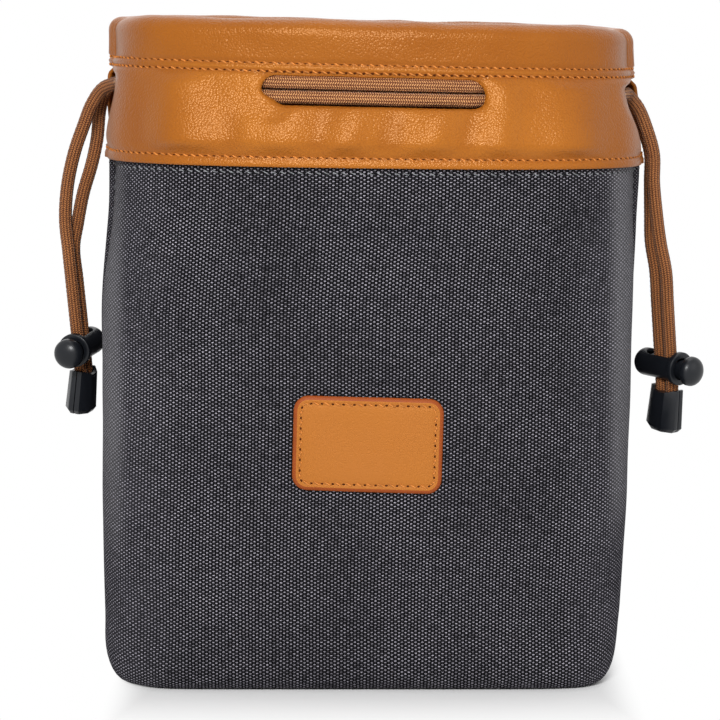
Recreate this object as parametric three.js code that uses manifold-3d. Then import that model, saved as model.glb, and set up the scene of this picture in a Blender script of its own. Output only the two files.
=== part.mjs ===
// Padded lens pouch: a canvas bag with a boxed base, a tan leather collar folded over
// the rim, and two drawcords that each run right round the collar's channel and leave
// at their own side through a slit, a sprung cord lock and a clamshell cord end.
// Millimetres, +Z up, front towards -Y, origin under the middle of the pouch.

import * as THREE from 'three';
import { mergeVertices } from 'three/addons/utils/BufferGeometryUtils.js';
import Module from 'manifold-3d';

const wasm = await Module();
wasm.setup();

// Driving dimensions of the pouch
const height = 193;             // floor to the top of the rim fold
const clearance = 0.3;          // gap between pieces that touch
const overrun = 8;              // how far a cut runs past what it cuts
const around = 40;              // facets round the pouch
const weld = 0.001;             // points closer than this are one point

// The body's outer section at five heights: half width, half depth, squareness, and how
// far the soft body has sunk sideways there
const baseHalfWidth = 65.8;       // flat part of the boxed base
const baseHalfDepth = 43;
const baseSquareness = 7;
const baseShift = -3.5;
const footHeight = 14;          // top of the rounding that leads into the walls
const footHalfWidth = 78;
const footHalfDepth = 49.5;
const footSquareness = 6;
const footShift = -3.3;
const bellyHeight = 102;
const bellyHalfWidth = 79.8;
const bellyHalfDepth = 52;
const bellySquareness = 4;
const bellyShift = -1.8;
const collarHeight = 152.6;       // lower edge of the leather collar
const collarHalfWidth = 79.5;
const collarHalfDepth = 51;
const collarSquareness = 2.8;
const collarShift = 0.5;
const rimHalfWidth = 76.9;
const rimHalfDepth = 47.5;
const rimSquareness = 2.3;
const rimShift = -0.5;
const footSteps = 3;            // facets in the rounding above the base

// Layers of the wall, from the outside in
const canvasWall = 1;
const paddingWall = 4;
const liningWall = 0.8;
const leatherWall = 1;
const seamLap = 3.2;            // canvas and padding reach this far up behind the collar

// The collar's channel, its window and its side slits
const channelDepth = 5.5;       // free depth between the collar's two leather walls
const facingHeight = 156.4;       // lower edge of the leather turned down inside
const waistHeight = 180.4;      // between the two stitch rows under the rim
const waistDip = 0.5;           // how far the stitching draws each wall in
const foldSteps = 5;            // facets over the rim fold
const foamBottomHeight = 183;   // lower edge of the foam strip in the rim
const windowWidth = 63.5;
const windowSize = 8.6;         // height of the window
const windowLevel = 174.1;
const windowOffset = 0.2;       // from the body's centre line at that level
const slitHalfWidth = 12;
const slitBottom = 156;
const slitTop = 178.8;

// The label patch, left bare
const labelWidth = 42.5;
const labelHeight = 26.6;
const labelRadius = 3.5;
const labelThickness = 1.4;
const labelLevel = 73.5;
const labelOffset = 0.6;
const labelTurn = THREE.MathUtils.degToRad(-1.7);
const cornerSteps = 4;          // facets in a quarter of a rounded corner

// The drawcords
const cordDiameter = 3.9;
const cordSides = 8;
const strandSpacing = cordDiameter + clearance;
const tailSteps = 22;
const loopSteps = 44;
const leadIn = 3;               // how far a tail starts behind the edge of the slit

// The cord locks, along their own axis from the middle of the two strands
const pressTravel = 2.6;        // how far the plunger is pressed
const lockTravel = 20;          // how far a lock is slid up its cords
const slotWidth = cordDiameter + 2 * clearance;
const plungerRadius = 3;
const boreRadius = plungerRadius + clearance;
const barrelWall = 1;
const barrelRadius = boreRadius + barrelWall;
const endWall = 1.2;            // wall at the closed ends of barrel and plunger
const flangeRadius = 5.1;
const flangeWidth = 1.7;
const flangeChamfer = 0.4;
const mouthReach = 2.1;         // barrel's mouth past the end of its slot
const domeLength = 3.4;
const headRadius = 4.5;
const headLength = 4;
const headEdge = 1.1;           // straight edge of the head under its crown
const springLength = 4.1;       // at rest
const springRadius = 2.3;
const springWire = 0.5;
const springTurns = 3.5;
const stepsPerTurn = 8;
const wireSides = 5;
const lockSides = 20;
const domeSteps = 4;

// The clamshell cord ends, in their own frame with the mouth at the top
const endLength = 13.4;
const endTopRadius = 5.7;
const endBottomRadius = 6.4;
const endChamfer = 1.3;
const endDepthShare = 0.68;     // depth over width of the eight-sided section
const endSides = 8;
const endPocket = 8.2;          // how far the strands reach in
const endScoopRadius = 9;       // hollow mouth
const endScoopDepth = 1.1;
const endGap = 0.7;             // between lock and cord end when the lock is down
const pegRadius = 1.1;
const pegLength = 1.4;
const pegSides = 16;

// How each lock and cord end hangs: a centre, the way its cords run down, the way the
// button faces and the way the cord end points, read off the picture
const locks = {
  left: {
    centre: new THREE.Vector3(-88.6, -1.5, 95.6),
    cordRun: new THREE.Vector3(0.08, 0.09, -1).normalize(),
    facing: new THREE.Vector3(-0.28, -0.96, 0),
    endRun: new THREE.Vector3(-0.1, 0.12, -1).normalize(),
  },
  right: {
    centre: new THREE.Vector3(89.8, 1.5, 89.2),
    cordRun: new THREE.Vector3(0.09, 0.17, -1).normalize(),
    facing: new THREE.Vector3(0.64, -0.77, 0),
    endRun: new THREE.Vector3(-0.06, 0.14, -1).normalize(),
  },
};

// Chosen points of the four free tails between the slit and the straight stretch
// that a lock slides on
const tailRoutes = {
  left_front: [
    [-76.5, -8.4, 175.9], [-80.7, -5.5, 173.9], [-84.1, -4.3, 168.8], [-86.8, -3.9, 161.8],
    [-89.6, -3.9, 153.8], [-91.8, -4.2, 144.2], [-92.5, -5, 134.5],
  ],
  left_back: [
    [-76.5, 8.4, 175.9], [-80.4, 5.7, 173.6], [-82.5, 4.8, 167.6], [-83.6, 3.9, 157.6],
    [-85.1, 2.6, 150.2], [-87.7, 1, 141.4], [-89.4, -0.8, 132.6],
  ],
  right_front: [
    [76.2, -9.2, 171.2], [79.4, -6.7, 167.6], [82.3, -5.5, 161.2], [84.3, -5, 154.5],
    [84.5, -4.7, 146], [85.4, -4.9, 137], [86.7, -5.2, 127.5],
  ],
  right_back: [
    [76.2, 9.2, 171.2], [79.3, 6.6, 167.6], [82.1, 4.7, 161.2], [84.2, 3.2, 154.5],
    [84.2, 1.7, 146], [84.2, 0, 137], [84.4, -1.2, 127.5],
  ],
};

// Materials
function finish(color, roughness) {
  return new THREE.MeshStandardMaterial({ color, roughness, metalness: 0 });
}
const canvasFinish = finish(0x46484c, 0.95);
const leatherFinish = finish(0xc0782e, 0.5);
const patchFinish = finish(0xcf8a3c, 0.55);
const cordFinish = finish(0xa5683a, 0.85);
const foamFinish = finish(0x2c2d30, 1);
const liningFinish = finish(0x5d5f63, 0.9);
const plasticFinish = finish(0x17181a, 0.45);
const springFinish = new THREE.MeshStandardMaterial({ color: 0xb9bcc0, roughness: 0.3, metalness: 1 });

// A closed three.js geometry as a solid that can be cut and joined
function solid(geometry) {
  const bare = geometry.clone();
  bare.deleteAttribute('normal');
  bare.deleteAttribute('uv');
  const merged = mergeVertices(bare, weld);
  const points = merged.attributes.position;
  const corner = [new THREE.Vector3(), new THREE.Vector3(), new THREE.Vector3()];
  const triangles = [];
  let volume = 0;
  for (let i = 0; i < merged.index.count; i += 3) {
    const ids = [0, 1, 2].map((k) => merged.index.getX(i + k));
    if (new Set(ids).size < 3) continue;
    ids.forEach((id, k) => corner[k].fromBufferAttribute(points, id));
    volume += corner[0].dot(corner[1].clone().cross(corner[2]));
    triangles.push(ids);
  }
  const facing = volume < 0 ? triangles.map(([a, b, c]) => [a, c, b]) : triangles;
  return new wasm.Manifold(new wasm.Mesh({
    numProp: 3,
    vertProperties: Float32Array.from(points.array),
    triVerts: Uint32Array.from(facing.flat()),
  }));
}

// A solid as a named mesh
function piece(name, body, material) {
  const { vertProperties, triVerts } = body.getMesh();
  const geometry = new THREE.BufferGeometry();
  geometry.setAttribute('position', new THREE.BufferAttribute(vertProperties, 3));
  geometry.setIndex(new THREE.BufferAttribute(triVerts, 1));
  geometry.computeVertexNormals();
  const mesh = new THREE.Mesh(geometry, material);
  mesh.name = name;
  return mesh;
}

// A block between two corners
function block(low, high) {
  const size = new THREE.Vector3().subVectors(high, low);
  const middle = new THREE.Vector3().addVectors(low, high).multiplyScalar(0.5);
  const geometry = new THREE.BoxGeometry(size.x, size.y, size.z);
  geometry.translate(middle.x, middle.y, middle.z);
  return solid(geometry);
}

// A flat outline pushed along Y, its drawing plane standing up as X and Z
function uprightPrism(outline, nearY, farY) {
  const geometry = new THREE.ExtrudeGeometry(outline, { depth: farY - nearY, bevelEnabled: false });
  geometry.rotateX(Math.PI / 2);
  geometry.translate(0, farY, 0);
  return solid(geometry);
}

// A rectangle with round corners about the origin, and turned by an angle
function roundedRectangle(width, tall, radius, turn) {
  const points = [];
  const quarters = [[1, 1], [-1, 1], [-1, -1], [1, -1]];
  quarters.forEach(([sideX, sideZ], quarter) => {
    for (let step = 0; step <= cornerSteps; step += 1) {
      const angle = (quarter + step / cornerSteps) * Math.PI / 2;
      const point = new THREE.Vector2(
        sideX * (width / 2 - radius) + radius * Math.cos(angle),
        sideZ * (tall / 2 - radius) + radius * Math.sin(angle),
      );
      points.push(point.rotateAround(new THREE.Vector2(), turn));
    }
  });
  return points;
}

// The five measured sections of the body
function measured(z, halfWidth, halfDepth, squareness, shift) {
  return { z, halfWidth, halfDepth, squareness, shift };
}
const sections = [
  measured(0, baseHalfWidth, baseHalfDepth, baseSquareness, baseShift),
  measured(footHeight, footHalfWidth, footHalfDepth, footSquareness, footShift),
  measured(bellyHeight, bellyHalfWidth, bellyHalfDepth, bellySquareness, bellyShift),
  measured(collarHeight, collarHalfWidth, collarHalfDepth, collarSquareness, collarShift),
  measured(height, rimHalfWidth, rimHalfDepth, rimSquareness, rimShift),
];

// The body's section at a height, set in from the outer skin
function sectionAt(z, inset) {
  const upper = Math.max(1, sections.findIndex((section) => section.z >= z));
  const low = sections[upper - 1];
  const high = sections[upper];
  const share = THREE.MathUtils.smoothstep(z, low.z, high.z);
  return {
    z,
    halfWidth: THREE.MathUtils.lerp(low.halfWidth, high.halfWidth, share) - inset,
    halfDepth: THREE.MathUtils.lerp(low.halfDepth, high.halfDepth, share) - inset,
    squareness: THREE.MathUtils.lerp(low.squareness, high.squareness, share),
    shift: THREE.MathUtils.lerp(low.shift, high.shift, share),
  };
}

// A section in the rounding between the flat base and the walls
function footSection(step, inset) {
  const angle = step / footSteps * Math.PI / 2;
  const outward = Math.sin(angle);
  return {
    z: inset + (footHeight - inset) * (1 - Math.cos(angle)),
    halfWidth: baseHalfWidth + (footHalfWidth - inset - baseHalfWidth) * outward,
    halfDepth: baseHalfDepth + (footHalfDepth - inset - baseHalfDepth) * outward,
    squareness: THREE.MathUtils.lerp(baseSquareness, footSquareness, outward),
    shift: THREE.MathUtils.lerp(baseShift, footShift, outward),
  };
}

// A point on a section, by the angle round the body from +X towards +Y
function sectionPoint(section, angle) {
  const cosine = Math.cos(angle);
  const sine = Math.sin(angle);
  const power = section.squareness;
  const swell = (Math.abs(cosine) ** power + Math.abs(sine) ** power) ** (-1 / power);
  return new THREE.Vector3(
    section.shift + section.halfWidth * cosine * swell,
    section.halfDepth * sine * swell,
    section.z,
  );
}

// A lathe whose round rows are pressed into the body's sections
function bodyLoft(rows) {
  const profile = rows.map((row) => new THREE.Vector2(row.halfWidth, row.z));
  const geometry = new THREE.LatheGeometry(profile, around);
  const points = geometry.attributes.position;
  for (let i = 0; i < points.count; i += 1) {
    const row = rows[i % rows.length];
    const angle = Math.floor(i / rows.length) / around * 2 * Math.PI;
    const point = sectionPoint(row, angle);
    points.setXYZ(i, point.x, point.y, point.z);
  }
  return solid(geometry);
}

// The point where a row closes on the body's centre line
function axisRow(section) {
  return { ...section, halfWidth: 0, halfDepth: 0 };
}

// Levels at which every layer of the wall has a row, so that nested layers stay parallel
const seamTop = collarHeight + seamLap;
const channelLevel = (facingHeight + waistHeight) / 2;
const bodyLevels = [(footHeight + bellyHeight) / 2, bellyHeight, (bellyHeight + collarHeight) / 2];
const collarLevels = [collarHeight, seamTop, facingHeight, channelLevel];

// The filled body up to a height, set in from the outer skin
function filledBody(inset, top) {
  const rows = [axisRow(footSection(0, inset))];
  for (let step = 0; step <= footSteps; step += 1) rows.push(footSection(step, inset));
  const levels = [...bodyLevels, ...collarLevels].filter((z) => z < top);
  levels.forEach((z) => rows.push(sectionAt(z, inset)));
  rows.push(sectionAt(top, inset));
  rows.push(axisRow(sectionAt(top, inset)));
  return bodyLoft(rows);
}

// Everything on one side of the side seams, half a seam gap away from them
function halfSpace(side) {
  const near = side * clearance / 2;
  const far = side * height;
  return block(
    new THREE.Vector3(-height, Math.min(near, far), -overrun),
    new THREE.Vector3(height, Math.max(near, far), height + overrun),
  );
}
const frontSpace = halfSpace(-1);
const backSpace = halfSpace(1);

function above(z) {
  return block(new THREE.Vector3(-height, -height, z), new THREE.Vector3(height, height, height + overrun));
}

// Canvas shell, foam padding and lining
const paddingInset = canvasWall + clearance;
const liningInset = paddingInset + paddingWall + clearance;
const liningTop = facingHeight - clearance;

function wallLayer(inset, wall, top) {
  return filledBody(inset, top).subtract(filledBody(inset + wall, waistHeight));
}

const canvas = wallLayer(0, canvasWall, seamTop);
const lining = wallLayer(liningInset, liningWall, liningTop);
const baseFoamTop = paddingInset + paddingWall;
const foamWall = wallLayer(paddingInset, paddingWall, seamTop).intersect(above(baseFoamTop + clearance));
const baseFoam = filledBody(paddingInset, seamTop).subtract(above(baseFoamTop));

// Leather collar: one strip lapped over the canvas, folded over the rim and turned
// down inside as far as the lining
const collarOuterInset = -(leatherWall + clearance);
const channelOuterInset = -clearance;
const channelInnerInset = channelOuterInset + channelDepth;
const facingInset = channelInnerInset + leatherWall;
const foldMiddleInset = (collarOuterInset + facingInset) / 2;
const foldRadius = (facingInset - collarOuterInset) / 2;
const foldHeight = height - foldRadius;
const channelMiddleInset = (channelOuterInset + channelInnerInset) / 2;

function foldArc(radius, fromOutside) {
  const rows = [];
  for (let step = 0; step <= foldSteps; step += 1) {
    const turn = fromOutside ? step / foldSteps : 1 - step / foldSteps;
    const angle = turn * Math.PI;
    rows.push(sectionAt(
      foldHeight + radius * Math.sin(angle),
      foldMiddleInset - radius * Math.cos(angle),
    ));
  }
  return rows;
}

function collarShell() {
  const rows = [
    ...collarLevels.map((z) => sectionAt(z, collarOuterInset)),
    sectionAt(waistHeight, collarOuterInset + waistDip),
    ...foldArc(foldRadius, true),
    sectionAt(waistHeight, facingInset - waistDip),
    sectionAt(channelLevel, facingInset),
    sectionAt(facingHeight, facingInset),
    sectionAt(facingHeight, channelInnerInset),
    sectionAt(channelLevel, channelInnerInset),
    sectionAt(waistHeight, channelInnerInset - waistDip),
    ...foldArc(foldRadius - leatherWall, false),
    sectionAt(waistHeight, channelOuterInset + waistDip),
    ...collarLevels.map((z) => sectionAt(z, channelOuterInset)).reverse(),
    sectionAt(collarHeight, collarOuterInset),
  ];
  return bodyLoft(rows);
}

function rimFoam() {
  const radius = foldRadius - leatherWall - clearance;
  const footInset = waistDip + clearance;
  const bottomRow = sectionAt(foamBottomHeight, channelOuterInset + footInset);
  return bodyLoft([
    bottomRow,
    ...foldArc(radius, true),
    sectionAt(foamBottomHeight, channelInnerInset - footInset),
    bottomRow,
  ]);
}

// The slit at one side, through the collar's outer wall only
function slitTool(side) {
  const section = sectionAt(windowLevel, channelMiddleInset);
  const edge = section.halfWidth + side * section.shift;
  const near = side * edge;
  const far = side * (edge + channelDepth + overrun);
  return block(
    new THREE.Vector3(Math.min(near, far), -slitHalfWidth, slitBottom),
    new THREE.Vector3(Math.max(near, far), slitHalfWidth, slitTop),
  );
}

// The window in the front wall that shows both cords
function windowTool() {
  const section = sectionAt(windowLevel, channelMiddleInset);
  const depth = section.halfDepth;
  const outline = new THREE.Shape(roundedRectangle(windowWidth, windowSize, windowSize / 2, 0));
  const tool = uprightPrism(outline, -(depth + channelDepth + overrun), -depth);
  return tool.translate([section.shift + windowOffset, 0, windowLevel]);
}

const collar = collarShell().subtract(slitTool(-1)).subtract(slitTool(1));

// The label patch follows the bulge of the front
function labelPatch() {
  const skin = filledBody(-(clearance + labelThickness), collarHeight)
    .subtract(filledBody(-clearance, waistHeight));
  const outline = new THREE.Shape(roundedRectangle(labelWidth, labelHeight, labelRadius, labelTurn));
  const prism = uprightPrism(outline, -(bellyHalfDepth + overrun), -baseHalfDepth);
  return prism.translate([sectionAt(labelLevel, 0).shift + labelOffset, 0, labelLevel]).intersect(skin);
}

// Cords: an eight-sided section along a smooth curve
function cordSection() {
  const section = new THREE.Shape();
  for (let side = 0; side < cordSides; side += 1) {
    const angle = (side + 0.5) / cordSides * 2 * Math.PI;
    const x = cordDiameter / 2 * Math.cos(angle);
    const y = cordDiameter / 2 * Math.sin(angle);
    if (side === 0) section.moveTo(x, y);
    else section.lineTo(x, y);
  }
  section.closePath();
  return section;
}

function cordAlong(path, steps) {
  return solid(new THREE.ExtrudeGeometry(cordSection(), { steps, extrudePath: path, bevelEnabled: false }));
}

// Each cord keeps its own level in the channel: the left one lies above the right one
const cordLevels = {
  left: windowLevel + strandSpacing / 2,
  right: windowLevel - strandSpacing / 2,
};

function channelSection(side) {
  return sectionAt(cordLevels[side], channelMiddleInset);
}

// Angle from the side of the body at which a cord's loop ends and its tail begins
function exitAngle(side) {
  return Math.asin((slitHalfWidth + leadIn) / channelSection(side).halfDepth);
}

class ChannelCurve extends THREE.Curve {
  constructor(side) {
    super();
    this.section = channelSection(side);
    this.start = (side === 'left' ? Math.PI : 0) + exitAngle(side);
    this.sweep = 2 * Math.PI - 2 * exitAngle(side);
  }

  getPoint(share, target = new THREE.Vector3()) {
    return target.copy(sectionPoint(this.section, this.start + this.sweep * share));
  }
}

// The frame of a lock or a cord end: X along the row of two strands, Z up the cords
function hangingFrame(centre, run, facing) {
  const up = run.clone().negate();
  const along = facing.clone().projectOnPlane(up).normalize();
  const across = up.clone().cross(along);
  return { centre, up, along, across };
}

function lockFrame(side) {
  return hangingFrame(locks[side].centre, locks[side].cordRun, locks[side].facing);
}

const endTopDrop = barrelRadius + endGap + endScoopDepth;

function endFrame(side) {
  const { centre, cordRun, endRun, facing } = locks[side];
  const top = centre.clone().addScaledVector(cordRun, flangeRadius + endTopDrop - barrelRadius);
  return hangingFrame(top, endRun, facing);
}

function placed(frame, ...meshes) {
  const holder = new THREE.Group();
  holder.quaternion.setFromRotationMatrix(new THREE.Matrix4().makeBasis(frame.along, frame.across, frame.up));
  holder.position.copy(frame.centre);
  holder.add(...meshes);
  return holder;
}

// A free tail: out of the slit, down beside the pouch, straight through the lock and
// into the cord end
function tailCurve(side, strand) {
  const channel = new ChannelCurve(side);
  const atStart = (side === 'left') === (strand === 'front');
  const mouth = channel.getPointAt(atStart ? 0 : 1);
  const outward = channel.getTangentAt(atStart ? 0 : 1).multiplyScalar(atStart ? -1 : 1);
  const lock = lockFrame(side);
  const end = endFrame(side);
  const row = (strand === 'front' ? 1 : -1) * strandSpacing / 2;
  const onLock = (rise) => lock.centre.clone()
    .addScaledVector(lock.along, row)
    .addScaledVector(lock.up, rise);
  const onEnd = (depth) => end.centre.clone()
    .addScaledVector(end.along, row)
    .addScaledVector(end.up, -depth);
  const straightTop = lockTravel + 2 * flangeRadius;
  return new THREE.CatmullRomCurve3([
    mouth.clone().addScaledVector(outward, clearance),
    mouth.clone().addScaledVector(outward, leadIn),
    ...tailRoutes[`${side}_${strand}`].map((point) => new THREE.Vector3(...point)),
    onLock(straightTop),
    onLock(lockTravel),
    onLock(0),
    onLock(-barrelRadius),
    onEnd(endScoopDepth),
    onEnd(endPocket - clearance),
  ]);
}

// Round parts of the lock: a profile of [along, radius] turned about the lock's own X
function turned(profile) {
  const points = profile.map(([along, radius]) => new THREE.Vector2(radius, along));
  const geometry = new THREE.LatheGeometry(points, lockSides);
  geometry.rotateZ(-Math.PI / 2);
  return solid(geometry);
}

// A quarter of an ellipse from the axis out to a radius, for domes and crowns
function domeProfile(tip, length, radius) {
  const points = [];
  for (let step = 0; step <= domeSteps; step += 1) {
    const angle = step / domeSteps * Math.PI / 2;
    points.push([tip + length * (1 - Math.cos(angle)), radius * Math.sin(angle)]);
  }
  return points;
}

// Places along the lock's axis. The two strands fill the middle, and each slot is
// longer than they are by the travel, on opposite sides, so the spring pinches them
const strandReach = strandSpacing / 2 + cordDiameter / 2 + clearance;
const slotLength = 2 * strandReach + pressTravel;
const barrelSlotStart = -strandReach - pressTravel;
const plungerSlotStart = -strandReach;
const barrelMouth = barrelSlotStart + slotLength + mouthReach;
const plungerStart = plungerSlotStart - endWall;
const springEnd = plungerStart - clearance;
const barrelFloor = springEnd - springLength - clearance;
const barrelTip = barrelFloor - endWall;
const headStart = barrelMouth + pressTravel + clearance;

// A slot straight down through a lock part, with round ends
function strandSlot(start) {
  const outline = new THREE.Shape(roundedRectangle(slotLength, slotWidth, slotWidth / 2, 0));
  const geometry = new THREE.ExtrudeGeometry(outline, { depth: 2 * overrun, bevelEnabled: false });
  geometry.translate(start + slotLength / 2, 0, -overrun);
  return solid(geometry);
}

function lockBarrel() {
  const flangeStart = barrelMouth - flangeWidth;
  return turned([
    ...domeProfile(barrelTip, domeLength, barrelRadius),
    [flangeStart - flangeChamfer, barrelRadius],
    [flangeStart, flangeRadius],
    [barrelMouth - flangeChamfer, flangeRadius],
    [barrelMouth, flangeRadius - flangeChamfer],
    [barrelMouth, boreRadius],
    [barrelFloor, boreRadius],
    [barrelFloor, 0],
  ]).subtract(strandSlot(barrelSlotStart));
}

function lockPlunger() {
  const headTip = headStart + headLength;
  return turned([
    [plungerStart, 0],
    [plungerStart, plungerRadius],
    [headStart, plungerRadius],
    [headStart, headRadius - flangeChamfer],
    [headStart + flangeChamfer, headRadius],
    [headStart + headEdge, headRadius],
    ...domeProfile(headTip, headEdge - headLength, headRadius).reverse().slice(1),
  ]).subtract(strandSlot(plungerSlotStart));
}

class SpringCurve extends THREE.Curve {
  getPoint(share, target = new THREE.Vector3()) {
    const angle = share * springTurns * 2 * Math.PI;
    const run = springLength - springWire;
    return target.set(
      springEnd - springLength + springWire / 2 + run * share,
      (springRadius - springWire / 2) * Math.cos(angle),
      (springRadius - springWire / 2) * Math.sin(angle),
    );
  }
}

function lockSpring() {
  const wire = new THREE.Shape();
  for (let side = 0; side < wireSides; side += 1) {
    const angle = side / wireSides * 2 * Math.PI;
    const x = springWire / 2 * Math.cos(angle);
    const y = springWire / 2 * Math.sin(angle);
    if (side === 0) wire.moveTo(x, y);
    else wire.lineTo(x, y);
  }
  wire.closePath();
  const steps = springTurns * stepsPerTurn;
  return solid(new THREE.ExtrudeGeometry(wire, { steps, extrudePath: new SpringCurve(), bevelEnabled: false }));
}

// The least gap between turns of a spring, from points along its wire
function springGap() {
  const points = new SpringCurve().getSpacedPoints(springTurns * stepsPerTurn);
  let least = Infinity;
  points.forEach((point, i) => {
    points.slice(i + stepsPerTurn / 2).forEach((other) => {
      least = Math.min(least, point.distanceTo(other));
    });
  });
  return least - springWire;
}

// The cord end: a tapered eight-sided body split into two shells, with a hollow mouth,
// a pocket for each strand and two pegs that hold the shells together
function cordEndBody() {
  const profile = [
    [0, -endLength],
    [endBottomRadius - endChamfer, -endLength],
    [endBottomRadius, -endLength + endChamfer],
    [endTopRadius, 0],
    [0, 0],
  ].map(([radius, z]) => new THREE.Vector2(radius, z));
  const geometry = new THREE.LatheGeometry(profile, endSides);
  geometry.rotateX(Math.PI / 2);
  geometry.rotateZ(Math.PI / endSides);
  geometry.scale(1, endDepthShare, 1);
  const scoop = new THREE.CylinderGeometry(endScoopRadius, endScoopRadius, 2 * overrun, lockSides);
  scoop.translate(0, 0, endScoopRadius - endScoopDepth);
  let body = solid(geometry).subtract(solid(scoop));
  [-1, 1].forEach((row) => {
    const pocket = new THREE.CylinderGeometry(slotWidth / 2, slotWidth / 2, endPocket + overrun, lockSides);
    pocket.rotateX(Math.PI / 2);
    pocket.translate(row * strandSpacing / 2, 0, (overrun - endPocket) / 2);
    body = body.subtract(solid(pocket));
  });
  return body;
}

function pegs(radius, reach) {
  const shapes = [-1, 1].map((row) => {
    const peg = new THREE.CylinderGeometry(radius, radius, 2 * reach, pegSides);
    peg.translate(row * strandSpacing / 2, 0, -(endPocket + endLength - endChamfer) / 2);
    return solid(peg);
  });
  return shapes[0].add(shapes[1]);
}

// Everything on one side of the parting plane of a cord end
function halfOfEnd(side) {
  const near = side * clearance / 2;
  const far = side * endLength;
  return block(
    new THREE.Vector3(-endLength, Math.min(near, far), -2 * endLength),
    new THREE.Vector3(endLength, Math.max(near, far), endLength),
  );
}

function cordEndShells() {
  const body = cordEndBody();
  const front = body.intersect(halfOfEnd(-1)).add(pegs(pegRadius, pegLength));
  const back = body.intersect(halfOfEnd(1)).subtract(pegs(pegRadius + clearance, pegLength + clearance));
  return { front, back };
}

// The whole pouch
const group = new THREE.Group();
group.add(
  piece('front_canvas_panel', canvas.intersect(frontSpace), canvasFinish),
  piece('back_canvas_panel', canvas.intersect(backSpace), canvasFinish),
  piece('front_padding', foamWall.intersect(frontSpace), foamFinish),
  piece('back_padding', foamWall.intersect(backSpace), foamFinish),
  piece('base_padding', baseFoam, foamFinish),
  piece('front_lining', lining.intersect(frontSpace), liningFinish),
  piece('back_lining', lining.intersect(backSpace), liningFinish),
  piece('front_collar', collar.subtract(windowTool()).intersect(frontSpace), leatherFinish),
  piece('back_collar', collar.intersect(backSpace), leatherFinish),
  piece('rim_foam', rimFoam(), foamFinish),
  piece('label_patch', labelPatch(), patchFinish),
);

['left', 'right'].forEach((side) => {
  group.add(piece(`${side}_cord_loop`, cordAlong(new ChannelCurve(side), loopSteps), cordFinish));
  ['front', 'back'].forEach((strand) => {
    const curve = tailCurve(side, strand);
    group.add(piece(`${side}_${strand}_cord_tail`, cordAlong(curve, tailSteps), cordFinish));
    console.log(`${side} ${strand} tail length ${curve.getLength().toFixed(1)} mm`);
  });
  group.add(placed(
    lockFrame(side),
    piece(`${side}_lock_barrel`, lockBarrel(), plasticFinish),
    piece(`${side}_lock_plunger`, lockPlunger(), plasticFinish),
    piece(`${side}_lock_spring`, lockSpring(), springFinish),
  ));
  const shells = cordEndShells();
  group.add(placed(
    endFrame(side),
    piece(`${side}_cord_end_front`, shells.front, plasticFinish),
    piece(`${side}_cord_end_back`, shells.back, plasticFinish),
  ));
});
console.log(`least gap between spring turns ${springGap().toFixed(2)} mm`);

export default group;
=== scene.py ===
"""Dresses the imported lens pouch: canvas, leather collar, braided cords, locks and stitching.

Metres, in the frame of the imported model: +Z up, front towards -Y.
"""

import functools
import math

import bmesh
import bpy
from mathutils import Matrix, Vector, noise


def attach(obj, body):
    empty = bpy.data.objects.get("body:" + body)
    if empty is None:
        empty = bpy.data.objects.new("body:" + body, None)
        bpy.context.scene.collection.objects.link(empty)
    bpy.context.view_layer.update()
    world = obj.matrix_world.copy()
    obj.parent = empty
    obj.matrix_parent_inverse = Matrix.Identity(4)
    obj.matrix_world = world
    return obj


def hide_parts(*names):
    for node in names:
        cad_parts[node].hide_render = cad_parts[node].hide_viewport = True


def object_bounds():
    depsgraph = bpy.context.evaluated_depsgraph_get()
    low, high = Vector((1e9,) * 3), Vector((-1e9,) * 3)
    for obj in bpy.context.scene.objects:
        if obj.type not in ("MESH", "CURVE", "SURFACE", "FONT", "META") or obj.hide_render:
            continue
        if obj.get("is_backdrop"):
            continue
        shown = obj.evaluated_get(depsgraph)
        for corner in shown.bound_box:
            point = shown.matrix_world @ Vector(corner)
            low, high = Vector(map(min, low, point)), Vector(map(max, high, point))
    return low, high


bl_info = {
    "name": "Lens pouch",
    "version": (1, 0, 0),
    "blender": (4, 5, 0),
    "location": "View3D > Sidebar > Pouch",
    "description": "Builds a padded canvas lens pouch with a leather collar and drawcords",
    "category": "Add Mesh",
}

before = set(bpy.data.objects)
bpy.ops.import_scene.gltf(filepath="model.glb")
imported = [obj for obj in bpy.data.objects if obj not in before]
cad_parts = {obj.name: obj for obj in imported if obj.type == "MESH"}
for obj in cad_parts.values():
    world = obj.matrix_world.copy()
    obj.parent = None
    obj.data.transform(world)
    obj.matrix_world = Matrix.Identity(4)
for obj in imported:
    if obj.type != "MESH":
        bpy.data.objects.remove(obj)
cad_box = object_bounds()

CLOTH_MAP = "cloth"             # UV map in metres along the cloth
PAINTED_SHADE = "seam_shade"       # how much painted shade darkens leather or canvas at a point
SIDES = ("left", "right")
HALVES = ("front", "back")
CLEARANCE = 0.0003


# Colours and settings

def linear(hex_colour):
    """An sRGB hex colour as linear red, green, blue and alpha."""
    channels = [int(hex_colour[i:i + 2], 16) / 255 for i in (1, 3, 5)]
    return [c / 12.92 if c <= 0.04045 else ((c + 0.055) / 1.055) ** 2.4 for c in channels] + [1]


def length_setting(name, description, default):
    return bpy.props.FloatProperty(
        name=name, description=description, default=default, min=0,
        unit="LENGTH", subtype="DISTANCE", precision=5,
    )


def colour_setting(name, description, hex_colour):
    return bpy.props.FloatVectorProperty(
        name=name, description=description, default=linear(hex_colour),
        size=4, min=0, max=1, subtype="COLOR",
    )


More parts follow.
